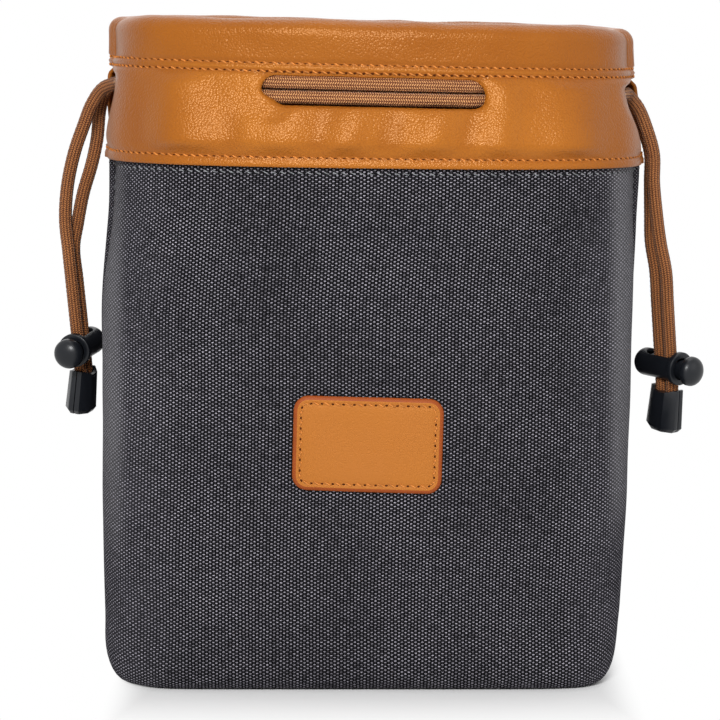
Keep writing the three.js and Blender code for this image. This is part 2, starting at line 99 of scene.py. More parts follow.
class PouchSizes(bpy.types.PropertyGroup):
    canvas_wall: length_setting("Canvas", "Thickness of the canvas", 0.001)
    padding_wall: length_setting("Padding", "Thickness of the foam padding", 0.004)
    lining_wall: length_setting("Lining", "Thickness of the lining", 0.0008)
    leather_wall: length_setting("Leather", "Thickness of the collar leather", 0.001)
    thread_pitch: length_setting("Thread pitch", "Spacing of the canvas threads", 0.00098)
    cord_width: length_setting("Cord", "Diameter of the drawcords", 0.0039)
    stitch_pitch: length_setting("Stitch", "Length of one collar stitch", 0.0025)
    label_pitch: length_setting("Label stitch", "Length of one stitch of label or seams", 0.0031)
    sewing_thread: length_setting("Thread", "Diameter of the sewing thread", 0.00055)
    rim_swell: length_setting("Rim swell", "How far the rolled rim puffs out", 0.0023)
    wrinkle_depth: length_setting("Wrinkles", "Depth of the collar's soft wrinkles", 0.0026)


class PouchColours(bpy.types.PropertyGroup):
    canvas_dark: colour_setting("Canvas gaps", "Colour between the canvas threads", "#070709")
    canvas_light: colour_setting("Canvas crowns", "Colour on top of the canvas threads", "#BAB6C1")
    leather: colour_setting("Leather", "Tan of the collar", "#AF681F")
    leather_deep: colour_setting("Leather folds", "Deeper tan in folds and pores", "#8F4B12")
    patch: colour_setting("Label", "Lighter tan of the label", "#B06A2C")
    edge_paint: colour_setting("Edge paint", "Paint round the label", "#A34E1E")
    # painted light: the cord's colours are lighter than its tails', to brighten its run in the window's
    # shade; lit and shaded copies of one yarn
    cord_light: colour_setting("Cord", "Light yarn of the braid", "#F0AE72")
    cord_dark: colour_setting("Cord gaps", "Shade between the yarns", "#5A260E")
    # painted shade: the hanging tails' darker copy of the cord's colours
    tail_light: colour_setting("Tail", "Light yarn of the handled cord ends", "#BE7B46")
    tail_dark: colour_setting("Tail gaps", "Shade between the yarns of the cord ends", "#452010")
    thread: colour_setting("Thread", "Tan sewing thread", "#DE8A3E")
    plastic: colour_setting("Plastic", "Moulded locks and cord ends", "#0E1014")


def sizes():
    return bpy.context.scene.pouch_sizes


def shade(name):
    """A colour by its hex, or by its name among the pouch's colours."""
    return linear(name) if name.startswith("#") else list(getattr(bpy.context.scene.pouch_colours, name))


def toned(colour, factor):
    return [min(1, channel * factor) for channel in colour[:3]] + [1]


# Shares and smooth steps

def lerp(low, high, share):
    return low + (high - low) * share


def smooth(share):
    share = min(1, max(0, share))
    return share * share * (3 - 2 * share)


def bump(distance, reach):
    """One at no distance, falling smoothly to none at its reach."""
    return 1 - smooth(abs(distance) / reach)


def stations(*stretches):
    """Places from (start, end, count) stretches laid end to end."""
    places = [stretches[0][0]]
    for start, end, count in stretches:
        places += [lerp(start, end, (step + 1) / count) for step in range(count)]
    return places


def full_turn(count):
    return [2 * math.pi * (step % count) / count for step in range(count + 1)]


def walk(points, places):
    """Points at shares of the length of a polyline."""
    lengths = [0]
    for a, b in zip(points, points[1:]):
        lengths.append(lengths[-1] + (b - a).length)
    found, i = [], 0
    for place in places:
        target = place * lengths[-1]
        while i < len(points) - 2 and lengths[i + 1] < target:
            i += 1
        step = lengths[i + 1] - lengths[i]
        found.append(points[i].lerp(points[i + 1], (target - lengths[i]) / step))
    return found


def path_length(path):
    return sum((b - a).length for a, b in zip(path, path[1:]))


# The body's sections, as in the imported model: height, half width, half depth,
# squareness and sideways shift

BODY_SECTIONS = (
    (0.0, 0.0658, 0.043, 7.0, -0.0035),
    (0.014, 0.078, 0.0495, 6.0, -0.0033),
    (0.102, 0.0798, 0.052, 4.0, -0.0018),
    (0.1526, 0.0795, 0.051, 2.8, 0.0005),
    (0.193, 0.0769, 0.0475, 2.3, -0.0005),
)
FOOT_HEIGHT = BODY_SECTIONS[1][0]
COLLAR_HEIGHT = BODY_SECTIONS[3][0]
RIM_HEIGHT = BODY_SECTIONS[4][0]
FOOT_FULLNESS = 0.0047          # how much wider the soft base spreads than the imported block's
FOOT_SQUARENESS = 10.0          # and its tighter corners
SEAM_DEPTH = 0.012              # the side seams lie this far in front of the middle
SEAM_STEP = 0.0019              # and the front panel's edge sinks this far at them
COLLAR_TILT = 0.024             # the soft collar hangs lower at the right
TILT_START = 0.125
TILT_FULL = 0.180
RING_POINTS = 240


def section_at(height, inset):
    """Half width, half depth, squareness and shift of the body at a height, set in from the skin."""
    last = len(BODY_SECTIONS) - 1
    upper = next((i for i, s in enumerate(BODY_SECTIONS) if s[0] >= height and i), last)
    low, high = BODY_SECTIONS[upper - 1], BODY_SECTIONS[upper]
    share = smooth((height - low[0]) / (high[0] - low[0]))
    half_width, half_depth, squareness, shift = (lerp(a, b, share) for a, b in zip(low[1:], high[1:]))
    return half_width - inset, half_depth - inset, squareness, shift


def foot_section(share, inset):
    """The height and section of the rounding between the flat base and the walls."""
    angle = share * math.pi / 2
    spread = math.sin(angle)
    base, foot = BODY_SECTIONS[0], BODY_SECTIONS[1]
    section = (
        lerp(base[1] + FOOT_FULLNESS, foot[1] - inset, spread),
        lerp(base[2], foot[2] - inset, spread),
        lerp(FOOT_SQUARENESS, foot[3], spread),
        lerp(base[4], foot[4], spread),
    )
    return inset + (FOOT_HEIGHT - inset) * (1 - math.cos(angle)), section


def foot_share(height, inset):
    """The share of the foot's rounding at which it reaches a height."""
    return math.acos(1 - (height - inset) / (FOOT_HEIGHT - inset)) / (math.pi / 2)


def section_point(section, angle, height, share=1):
    """A point of a section, or of a smaller copy of it."""
    half_width, half_depth, squareness, shift = section
    cosine, sine = math.cos(angle), math.sin(angle)
    swell = share * (abs(cosine) ** squareness + abs(sine) ** squareness) ** (-1 / squareness)
    return Vector((shift + half_width * cosine * swell, half_depth * sine * swell, height))


def seam_angle(section):
    """How far below +X or -X, as an angle, the side seam lies on a section."""
    half_depth, squareness = section[1], section[2]
    share = (SEAM_DEPTH / half_depth) ** squareness
    return math.atan((share / (1 - share)) ** (1 / squareness))


def half_ring(section, height, facing, places):
    """Points round the front or back part of a section, from seam to seam."""
    turn = seam_angle(section)
    start, end = (math.pi + turn, 2 * math.pi - turn) if facing == "front" else (-turn, math.pi + turn)
    angles = stations((start, end, RING_POINTS))
    return walk([section_point(section, angle, height) for angle in angles], places)


def part_at_seam(rings, facing, gap=CLEARANCE):
    """Leaves a narrow gap between the front and the back part."""
    for point in (point for ring in rings for point in ring):
        if facing == "front":
            point.y = min(point.y, -SEAM_DEPTH - gap / 2)
        else:
            point.y = max(point.y, -SEAM_DEPTH + gap / 2)


def outward(point):
    """The level direction out of the body at a point of its skin."""
    half_width, half_depth, squareness, shift = section_at(min(max(point.z, FOOT_HEIGHT), RIM_HEIGHT), 0)
    x, y = (point.x - shift) / half_width, point.y / half_depth
    return Vector((
        math.copysign(abs(x) ** (squareness - 1), x) / half_width,
        math.copysign(abs(y) ** (squareness - 1), y) / half_depth,
        0,
    )).normalized()


def settled(point):
    """The tilt of the soft collar, for anything at its height."""
    tilt = COLLAR_TILT * smooth((point.z - TILT_START) / (TILT_FULL - TILT_START))
    return Vector((point.x, point.y, point.z - tilt * point.x))


# Making meshes and pieces

def cloth_grid(rings, closed=False):
    """A bmesh grid laid over rings of points, first ring at the bottom.

    Its UV map holds metres along the cloth, from the middle of the first ring.
    """
    columns, rows = len(rings[0]) - 1, len(rings) - 1
    middle = 0 if closed else columns // 2
    rise = [0.0]
    for low, high in zip(rings, rings[1:]):
        rise.append(rise[-1] + (high[middle] - low[middle]).length)
    bm = bmesh.new()
    for name in ("column", "row"):
        bm.verts.layers.int.new(name)
    column_of, row_of = (bm.verts.layers.int[name] for name in ("column", "row"))
    uv = bm.loops.layers.uv.new(CLOTH_MAP)
    bmesh.ops.create_grid(bm, x_segments=columns, y_segments=rows, size=0.5)
    spans = []
    for ring in rings:
        along = [0.0]
        for a, b in zip(ring, ring[1:]):
            along.append(along[-1] + (b - a).length)
        spans.append([length - along[middle] for length in along])
    cell = {v: (round((v.co.x + 0.5) * columns), round((v.co.y + 0.5) * rows)) for v in bm.verts}
    for face in bm.faces:
        for loop in face.loops:
            column, row = cell[loop.vert]
            loop[uv].uv = spans[row][column], rise[row]
    for vert, (column, row) in cell.items():
        vert.co = rings[row][column]
        vert[column_of], vert[row_of] = column, row
    if closed:
        bmesh.ops.remove_doubles(bm, verts=bm.verts, dist=1e-6)
    return bm


def fill_ends(bm):
    """Closes the open ends of a bmesh."""
    bmesh.ops.holes_fill(bm, edges=[e for e in bm.edges if e.is_boundary], sides=0)


def face_outwards(bm):
    bmesh.ops.recalc_face_normals(bm, faces=bm.faces)


def tube(path, radius, around, relief=None):
    """A closed-ended tube along a path, with an optional relief by angle and length run."""
    tangents = [(b - a).normalized() for a, b in zip([path[0]] + path[:-1], path[1:] + [path[-1]])]
    side = tangents[0].orthogonal().normalized()
    rings, run = [], 0.0
    for i, (point, tangent) in enumerate(zip(path, tangents)):
        side = (side - tangent * side.dot(tangent)).normalized()
        across = tangent.cross(side)
        run += (point - path[i - 1]).length if i else 0
        ring = []
        for angle in full_turn(around):
            reach = radius + (relief(angle, run) if relief else 0)
            ring.append(point + (side * math.cos(angle) + across * math.sin(angle)) * reach)
        rings.append(ring)
    bm = cloth_grid(rings, closed=True)
    fill_ends(bm)
    return bm


def in_scene(name, data, place=(0, 0, 0), turn=(0, 0, 0)):
    """An object of the scene made from its data."""
    thing = bpy.data.objects.new(name, data)
    thing.location, thing.rotation_euler = place, turn
    bpy.context.scene.collection.objects.link(thing)
    return thing


def new_piece(name, bm, look, body="root", replaces=None):
    """A finished, smooth piece from a bmesh: its look, body and the node it stands for."""
    for layer in list(bm.verts.layers.int.values()):
        bm.verts.layers.int.remove(layer)
    mesh = bpy.data.meshes.new(name)
    bm.to_mesh(mesh)
    bm.free()
    mesh.materials.append(finish(look))
    mesh.shade_smooth()
    piece = in_scene(name, mesh)
    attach(piece, body)
    if replaces:
        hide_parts(replaces)
    return piece


def thicken(piece, wall):
    """Gives a sheet its wall, inwards from its outer face."""
    modifier = piece.modifiers.new("wall", "SOLIDIFY")
    modifier.thickness = wall
    modifier.offset = -1
    modifier.use_even_offset = False


def round_edges(piece, width):
    modifier = piece.modifiers.new("edges", "BEVEL")
    modifier.width = width
    modifier.segments = 2
    modifier.limit_method = "ANGLE"
    modifier.angle_limit = math.radians(35)


# Nodes: one function adds a node with its settings and links

def feed(tree, node, **inputs):
    """Feeds a node's inputs, each with a number, a colour or another node's output.

    An input is given by its name, or as in0, in1 and so on by its number.
    """
    for name, value in inputs.items():
        socket = node.inputs[int(name[2:]) if name.startswith("in") else name.replace("_", " ")]
        if isinstance(value, bpy.types.NodeSocket):
            tree.links.new(value, socket)
        else:
            socket.default_value = value


def add_node(tree, kind, *values, output=0, **settings):
    """Adds a node and gives one of its outputs.

    The values feed its first inputs. A setting is a property of the node, or else an
    input as in feed.
    """
    node = tree.nodes.new("ShaderNode" + kind)
    inputs = {f"in{number}": value for number, value in enumerate(values)}
    for name, value in settings.items():
        if hasattr(node, name):
            setattr(node, name, value)
        else:
            inputs[name] = value
    feed(tree, node, **inputs)
    return node.outputs[output]


def new_material(name):
    """A material, and the way to add a node to it."""
    material = bpy.data.materials.new(name)
    material.use_nodes = True
    return material, functools.partial(add_node, material.node_tree)


def set_shader(material, **inputs):
    """Feeds the inputs of a material's shader, and gives the material."""
    feed(material.node_tree, material.node_tree.nodes["Principled BSDF"], **inputs)
    return material


# Materials. A noise's scale is one over the size of its blotches

CANVAS_RISE = 1.13              # the weave's pitch up the cloth over that across it
CANVAS_SWAY = 0.00045           # how far the threads wander
SIDE_GREY_FROM, SIDE_GREY_TO = 0.052, 0.079           # half widths where the canvas greys
NAP_SHEEN_FROM, NAP_SHEEN_TO = 0.0685, 0.0745               # and where its pale nap and painted sheen lie
NAP_SHEEN_MIDDLE = 0.002              # the leaning body's middle, to the left
NAP_SHEEN_NEAR, NAP_SHEEN_FAR = 0.001, 0.015                # the pale nap and painted sheen fade in over these distances before the seam
NAP_SHEEN_LOW, NAP_SHEEN_HIGH = 0.050, 0.090                # heights between which it starts
GRAIN_RELIEF = 0.20             # height of the leather's pebbles over their size
BRAID_ROWS = 12                 # rows of yarn round a cord
BRAID_PITCH = 0.00068           # yarns along a row
BRAID_SLANT = 0.85              # how far a yarn runs on, in pitches, across its row
PLY_LENGTH = 0.001382           # of one twist of the sewing thread
WAVE_LENGTH = math.pi / 5       # of a diagonal wave of scale one
# Real fibres, drawing lines and the peel of a mould are too fine to show, so they are drawn
# as coarse as this
FIBRE_SIZE = 0.00045
YARN_FIBRE_SIZE = 0.0004
DRAWING_LINE_SIZE = 0.0003
PEEL_SIZE = 0.0006


def washed_canvas():
    """Washed cotton canvas, plain woven and piece dyed charcoal: pale dots where the
    warp crowns have worn, dark gaps between them, greyer in blotches towards the sides,
    a pale nap with painted sheen just before the side seams, and painted shade in their grooves."""
    material, add = new_material("washed_cotton_canvas")
    pitch = sizes().thread_pitch
    cloth = add("UVMap", uv_map=CLOTH_MAP)
    place = add("TexCoord", output="Object")
    sway = add("TexNoise", output="Color", Vector=cloth, Scale=1 / 0.004, Detail=2)
    sway = add("VectorMath", sway, (0.5,) * 3, operation="SUBTRACT")
    threads = add("VectorMath", sway, (CANVAS_SWAY,) * 3, cloth, operation="MULTIPLY_ADD")
    column, rise, _ = add("SeparateXYZ", threads).node.outputs
    across = add("Math", column, math.pi / pitch, operation="MULTIPLY")
    across = add("Math", across, operation="COSINE")
    along = add("Math", rise, 2 * math.pi / (CANVAS_RISE * pitch), operation="MULTIPLY")
    along = add("Math", along, operation="COSINE")
    weave = add("Math", across, along, operation="MULTIPLY")
    crowns = add("MapRange", weave, 0.17, 0.78, interpolation_type="SMOOTHSTEP")
    wefts = add("MapRange", weave, -0.1, -1, interpolation_type="SMOOTHSTEP")
    slubs = add("TexNoise", Vector=cloth, Scale=1 / 0.0022, Detail=3)
    worn = add("TexNoise", Vector=place, Scale=1 / 0.035, Detail=4)
    fibres = add("TexNoise", Vector=cloth, Scale=1 / FIBRE_SIZE, Detail=2)
    wear = add("Math", slubs, 1.3, -0.45, operation="MULTIPLY_ADD")
    wear = add("Math", worn, 0.7, wear, operation="MULTIPLY_ADD")
    shown = add("Math", crowns, wear, operation="MULTIPLY")
    shown = add("Math", wefts, 0.05, shown, operation="MULTIPLY_ADD", use_clamp=True)
    x, y, z = add("SeparateXYZ", place).node.outputs
    # greyer towards the sides, in blotches
    greyer_sides = add("Math", x, operation="ABSOLUTE")
    greyer_sides = add("MapRange", greyer_sides, SIDE_GREY_FROM, SIDE_GREY_TO, 0, 1.1, interpolation_type="SMOOTHSTEP")
    grey_blotches = add("TexNoise", Vector=place, Scale=1 / 0.012, Detail=3)
    greyer_sides = add("Math", greyer_sides, grey_blotches, operation="MULTIPLY")
    beside = add("Math", x, NAP_SHEEN_MIDDLE, operation="ADD")
    beside = add("Math", beside, operation="ABSOLUTE")
    beside = add("MapRange", beside, NAP_SHEEN_FROM, NAP_SHEEN_TO, interpolation_type="SMOOTHSTEP")
    before = add("Math", y, -1, -SEAM_DEPTH, operation="MULTIPLY_ADD")
    before = add("MapRange", before, NAP_SHEEN_NEAR, NAP_SHEEN_FAR, interpolation_type="SMOOTHSTEP")
    above = add("Math", worn, 0.035, z, operation="MULTIPLY_ADD")
    above = add("MapRange", above, NAP_SHEEN_LOW, NAP_SHEEN_HIGH, interpolation_type="SMOOTHSTEP")
    # pale nap and painted sheen: a lighter streak just before the side seams, where the cloth turns from the
    # camera; it dims the crowns under it
    nap = add("Math", beside, before, operation="MULTIPLY")
    nap = add("Math", nap, above, operation="MULTIPLY")
    nap_and_sheen = add("Math", weave, 0.45, 0.28, operation="MULTIPLY_ADD")
    nap_and_sheen = add("Math", fibres, 0.9, nap_and_sheen, operation="MULTIPLY_ADD")
    nap_and_sheen = add("Math", nap, nap_and_sheen, operation="MULTIPLY")
    hidden = add("Math", nap, -0.3, 1, operation="MULTIPLY_ADD")
    shown = add("Math", shown, hidden, operation="MULTIPLY")
    dye = add("Mix", greyer_sides, output=2, data_type="RGBA", in6=shade("canvas_dark"), in7=linear("#343338"))
    # the pale colour of the nap and painted sheen
    dye = add("Mix", nap_and_sheen, output=2, data_type="RGBA", in6=dye, in7=linear("#706F72"))
    dye = add("Mix", shown, output=2, data_type="RGBA", in6=dye, in7=shade("canvas_light"))
    # painted shade: near black in the side seams' grooves
    seam = add("Attribute", output="Fac", attribute_name=PAINTED_SHADE)
    dye = add("Mix", seam, output=2, data_type="RGBA", in6=dye, in7=linear("#08080A"))
    height = add("Math", wefts, 0.75, operation="MULTIPLY")
    height = add("Math", height, crowns, operation="MAXIMUM")
    height = add("Math", fibres, 0.25, height, operation="MULTIPLY_ADD")
    normal = add("Bump", Strength=0.8, Distance=0.00022, Height=height)
    return set_shader(material, Base_Color=dye, Normal=normal, Roughness=0.95, Specular_IOR_Level=0.04)


def grained_leather(name, top, deep, grain_size, roughness):
    """Pressed leather coated with tinted polyurethane: one soft tan, a fine pebble grain that
    sparkles in its warm highlights, a deeper, redder colour in pores, and painted shade by seams, folds and
    sides."""
    material, add = new_material(name)
    place = add("TexCoord", output="Object")
    pebbles = add(
        "TexVoronoi", output="Distance", feature="SMOOTH_F1", Vector=place, Scale=1 / grain_size,
        Smoothness=0.15, Randomness=1,
    )
    creases = add("TexNoise", Vector=place, Scale=1 / (2 * grain_size), Detail=3, Roughness=0.6)
    tone = add("TexNoise", Vector=place, Scale=1 / 0.028, Detail=3)
    share = add("Math", tone, 1.1, -0.42, operation="MULTIPLY_ADD")
    share = add("Math", pebbles, 0.3, share, operation="MULTIPLY_ADD")
    colour = add("Mix", share, output=2, data_type="RGBA", in6=shade(top), in7=shade(deep))
    # painted shade: a deeper, redder tan where the shade attribute marks stitch grooves, folds, sides and
    # the roll
    seam = add("Attribute", output="Fac", attribute_name=PAINTED_SHADE)
    colour = add("Mix", seam, output=2, data_type="RGBA", in6=colour, in7=linear("#8C4A10"))
    pores = add("Math", pebbles, 1.6, operation="POWER")
    grain = add("Math", creases, 0.08, operation="MULTIPLY")
    grain = add("Math", grain, pores, operation="SUBTRACT")
    return set_shader(
        material, Base_Color=colour, Specular_IOR_Level=0.5, IOR=1.49, Specular_Tint=linear("#FFCF9A"),
        Roughness=add("Math", creases, 0.12, roughness - 0.06, operation="MULTIPLY_ADD"),
        Normal=add("Bump", Strength=1, Distance=GRAIN_RELIEF * grain_size, Height=grain),
    )


def edge_paint():
    """Painted leather edge: thick reddish brown paint, smooth and a little glossy."""
    material, add = new_material("painted_leather_edge")
    paint = shade("edge_paint")
    runs = add("TexNoise", Vector=add("TexCoord", output="Object"), Scale=1 / 0.003, Detail=3)
    return set_shader(
        material, Specular_IOR_Level=0.2,
        Base_Color=add("Mix", runs, output=2, data_type="RGBA", in6=toned(paint, 0.75), in7=paint),
        Roughness=add("Math", runs, 0.2, 0.45, operation="MULTIPLY_ADD"),
        Normal=add("Bump", Strength=0.4, Distance=0.0002, Height=runs),
    )


def braided_cord(name, light, dark, slant_depth):
    """Braided polyester cord: rows of small slanting yarns that meet in chevrons, light on
    their crowns and in painted shade where they dive under each other."""
    material, add = new_material(name)
    cloth = add("UVMap", uv_map=CLOTH_MAP)
    around, run, _ = add("SeparateXYZ", cloth).node.outputs
    rows = add("Math", around, math.pi * sizes().cord_width / BRAID_ROWS, operation="DIVIDE")
    slant = add("Math", rows, 1, operation="PINGPONG")
    yarn = add("Math", run, BRAID_PITCH, operation="DIVIDE")
    yarn = add("Math", slant, BRAID_SLANT, yarn, operation="MULTIPLY_ADD")
    yarn = add("Math", yarn, 2 * math.pi, operation="MULTIPLY")
    yarn = add("Math", yarn, operation="SINE")
    yarn = add("Math", yarn, slant_depth, 1 - slant_depth, operation="MULTIPLY_ADD")
    # painted shade in the valleys between the rows and where each yarn dives under
    valley = add("Math", rows, math.pi, operation="MULTIPLY")
    valley = add("Math", valley, operation="SINE")
    valley = add("Math", valley, operation="ABSOLUTE")
    valley = add("Math", valley, 0.9, operation="POWER")
    crown = add("Math", yarn, valley, operation="MULTIPLY")
    tone = add("TexNoise", Vector=cloth, Scale=1 / 0.012, Detail=3)
    fibres = add("TexNoise", Vector=cloth, Scale=1 / YARN_FIBRE_SIZE, Detail=3)
    share = add("Math", fibres, 0.2, -0.32, operation="MULTIPLY_ADD")
    share = add("Math", tone, 0.3, share, operation="MULTIPLY_ADD")
    share = add("Math", crown, 1.25, share, operation="MULTIPLY_ADD")
    return set_shader(
        material, Roughness=0.72, Specular_IOR_Level=0.25, Sheen_Weight=0.1, Sheen_Roughness=0.4,
        Base_Color=add("Mix", share, output=2, data_type="RGBA", in6=shade(dark), in7=shade(light)),
        Normal=add("Bump", Strength=0.9, Distance=0.0003, Height=crown),
    )


def moulded_plastic():
    """Injection moulded black polypropylene: satin, with the faint orange peel of its mould
    and edges that have been handled a little shinier."""
    material, add = new_material("moulded_black_polypropylene")
    black = shade("plastic")
    place = add("TexCoord", output="Object")
    handled = add("TexNoise", Vector=place, Scale=1 / 0.006, Detail=2)
    peel = add("TexNoise", Vector=place, Scale=1 / PEEL_SIZE, Detail=3)
    return set_shader(
        material, Specular_IOR_Level=0.35, IOR=1.49,
        Base_Color=add("Mix", handled, output=2, data_type="RGBA", in6=black, in7=toned(black, 2.2)),
        Roughness=add("Math", handled, 0.22, 0.24, operation="MULTIPLY_ADD"),
        Normal=add("Bump", Strength=0.35, Distance=0.00006, Height=peel),
    )


def twisted_thread(name, colour):
    """Bonded polyester thread: two plies twisted together, a little shiny, with painted shade in the grooves
    between them.
    """
    material, add = new_material(name)
    light = shade(colour)
    plies = add(
        "TexWave", output="Fac", wave_type="BANDS", bands_direction="DIAGONAL",
        Vector=add("TexCoord", output="Object"), Scale=WAVE_LENGTH / PLY_LENGTH,
    )
    return set_shader(
        material, Roughness=0.6, Specular_IOR_Level=0.25,
        # painted shade: half as bright in the grooves between the plies
        Base_Color=add("Mix", plies, output=2, data_type="RGBA", in6=toned(light, 0.5), in7=light),
        Normal=add("Bump", Strength=0.6, Distance=0.0001, Height=plies),
    )


def needle_hole(name, dark, light):
    """Painted shade of needle holes: leather or canvas pressed down by the thread, in deep shade, drawn as
    dark colour.
    """
    material, add = new_material(name)
    share = add("TexNoise", Vector=add("TexCoord", output="Object"), Scale=1 / 0.0005, Detail=3)
    share = add("Math", share, 2.5, -0.75, operation="MULTIPLY_ADD")
    tint = add("Mix", share, output=2, data_type="RGBA", in6=linear(dark), in7=linear(light))
    return set_shader(material, Base_Color=tint, Roughness=0.95, Specular_IOR_Level=0.05)


def soft_lining(name, dark, light, pile):
    """Brushed or foamed inner cloth: matte, with a short uneven pile or fine cells."""
    material, add = new_material(name)
    place = add("TexCoord", output="Object")
    nap = add("TexNoise", Vector=place, Scale=1 / pile, Detail=5, Roughness=0.65)
    patches = add("TexNoise", Vector=place, Scale=1 / 0.02, Detail=3)
    share = add("Math", nap, 0.9, -0.35, operation="MULTIPLY_ADD")
    share = add("Math", patches, 0.6, share, operation="MULTIPLY_ADD")
    return set_shader(
        material, Roughness=0.95, Specular_IOR_Level=0.2, Sheen_Weight=0.2, Sheen_Roughness=0.6,
        Base_Color=add("Mix", share, output=2, data_type="RGBA", in6=linear(dark), in7=linear(light)),
        Normal=add("Bump", Strength=0.5, Distance=pile / 2, Height=nap),
    )


def spring_steel():
    """Cold drawn spring wire: bright steel with fine drawing lines."""
    material, add = new_material("drawn_spring_steel")
    dark, light = linear("#8F9296"), linear("#C9CCD0")
    place = add("TexCoord", output="Object")
    lines = add("TexNoise", Vector=place, Scale=1 / DRAWING_LINE_SIZE, Detail=4)
    bright = add("MapRange", lines, 0.2, 0.8)
    return set_shader(
        material, Metallic=1, Base_Color=add("Mix", bright, output=2, data_type="RGBA", in6=dark, in7=light),
        Roughness=add("Math", lines, 0.2, 0.2, operation="MULTIPLY_ADD"),
    )


LOOKS = {
    "canvas": (washed_canvas,),
    "leather": (grained_leather, "coated_tan_leather", "leather", "leather_deep", 0.00062, 0.33),
    "patch": (grained_leather, "coated_light_tan_leather", "patch", "leather", 0.0005, 0.5),
    "edge": (edge_paint,),
    # one yarn in two copies, lighter in the window's run and darker in the tails: painted light and shade
    "cord": (braided_cord, "braided_polyester_cord", "cord_light", "cord_dark", 0.5),
    "hanging cord": (braided_cord, "braided_polyester_cord_handled", "tail_light", "tail_dark", 0.4),
    "plastic": (moulded_plastic,),
    "tan thread": (twisted_thread, "bonded_tan_thread", "thread"),
    "grey thread": (twisted_thread, "bonded_grey_thread", "#8C8F92"),
    # painted shade: dark beads that stand for the shade in needle holes
    "leather hole": (needle_hole, "needle_hole_in_leather", "#3E1C0B", "#5E2C12"),
    "canvas hole": (needle_hole, "needle_hole_in_canvas", "#0E0E10", "#1C1C1F"),
    "lining": (soft_lining, "brushed_grey_lining", "#3F4145", "#72757A", 0.0007),
    "foam": (soft_lining, "closed_cell_foam", "#1B1C1F", "#34363A", 0.0005),
    "steel": (spring_steel,),
}


@functools.lru_cache(maxsize=None)
def finish(look):
    """A finish of the pouch by its name, made once."""
    make, *facts = LOOKS[look]
    return make(*facts)


# The bag: canvas, padding and lining, nested layers of one soft shape

SEAM_TOP = 0.1558               # upper edge of canvas and foam, behind the collar's lap
FACING_HEIGHT = 0.1564          # lower edge of the collar's turned-down inside
PADDING_INSET = 0.0013
LINING_INSET = 0.0056
BASE_FOAM_TOP = 0.0053
BASE_ROWS = FOOT_ROWS = 9
MIDDLE_SPAN = 0.97              # the base's middle line, over its width at the corners
SOFT_REACH = 0.020              # the wall goes from stiff to soft over this height
LAP_FROM = 0.131                # and back from here up to the collar
WALL_WAVES = ((0.0008, 0.034, 0.7, 0.8), (0.00025, 0.013, 1, 0.7))     # height, size, Y and Z stretch
BASE_EDGE = 0.0017              # how far the base's front and back edges stand out
BASE_ENDS = 0.0006              # how far its ends are drawn in
RIGHT_CORNER = 0.0007           # and its right corner
SEAM_REACH_FRONT = 0.020        # the front sinks to the seams over this distance
SEAM_REACH_BACK = 0.0045
# Soft dents of the front and back walls: x, height, width, tall reach, depth
WALL_DENTS = (
    (-0.058, 0.062, 0.016, 0.060, -0.0016),
    (-0.030, 0.125, 0.022, 0.030, 0.0008),
    (0.022, 0.040, 0.034, 0.030, 0.0012),
    (0.060, 0.100, 0.013, 0.060, -0.0014),
    (0.056, 0.022, 0.018, 0.026, -0.0016),
    (-0.062, 0.018, 0.014, 0.020, -0.0012),
    (0.005, 0.128, 0.050, 0.018, -0.0008),
)


def body_relief(point):
    """How far the soft wall stands out of the plain section at a point."""
    relief = sum(
        height * noise.noise(Vector((point.x, point.y * y_stretch, point.z * z_stretch)) / size)
        for height, size, y_stretch, z_stretch in WALL_WAVES
    )
    relief += sum(
        depth * bump(point.x - x, width) * bump(point.z - height, tall)
        for x, height, width, tall, depth in WALL_DENTS
    )
    relief *= smooth(point.z / SOFT_REACH) * (1 - smooth((point.z - LAP_FROM) / SOFT_REACH))
    return relief + seam_relief(point) * smooth(point.z / 0.012) + foot_relief(point)


def foot_relief(point):
    """The boxed base: full along its front and back edges, drawn in at its ends and corners."""
    ends = smooth((abs(point.x) - 0.058) / 0.016)
    edges = smooth((abs(point.y) - 0.034) / 0.008) * (1 - ends)
    relief = BASE_EDGE * edges * bump(point.z - 0.003, 0.011)
    relief -= BASE_ENDS * ends * bump(point.z - FOOT_HEIGHT, 0.045)
    return relief - RIGHT_CORNER * bump(point.z - 0.010, 0.013) * smooth((point.x - 0.056) / 0.014)


def seam_relief(point):
    """The side seams: the front sinks gently to them and the back stands out again at once."""
    behind = point.y + SEAM_DEPTH
    return -SEAM_STEP * bump(behind, SEAM_REACH_BACK if behind > 0 else SEAM_REACH_FRONT)


def shaped(point):
    """A point of the plain body moved to the soft, tilted shape."""
    return settled(point + outward(point) * body_relief(point))


def layer_rings(facing, inset, top, columns, wall_rows):
    """Rings of the front or back half of one layer, from the middle of the base to its top."""
    places = stations((0, 1, columns))
    height, section = foot_section(0, inset)
    edge = half_ring(section, height, facing, places)
    part_at_seam([edge], facing)
    left, right = edge[0].x, edge[-1].x
    middle = [Vector((MIDDLE_SPAN * lerp(left, right, p), edge[0].y, height)) for p in places]
    rings = []
    for share in stations((0, 1, BASE_ROWS))[:-1]:
        rings.append([a.lerp(b, share) for a, b in zip(middle, edge)])
    for share in stations((0, 1, FOOT_ROWS))[:-1]:
        height, section = foot_section(share, inset)
        rings.append(half_ring(section, height, facing, places))
    for height in stations((FOOT_HEIGHT, top, wall_rows)):
        rings.append(half_ring(section_at(height, inset), height, facing, places))
    part_at_seam(rings, facing)
    return [[shaped(point) for point in ring] for ring in rings]


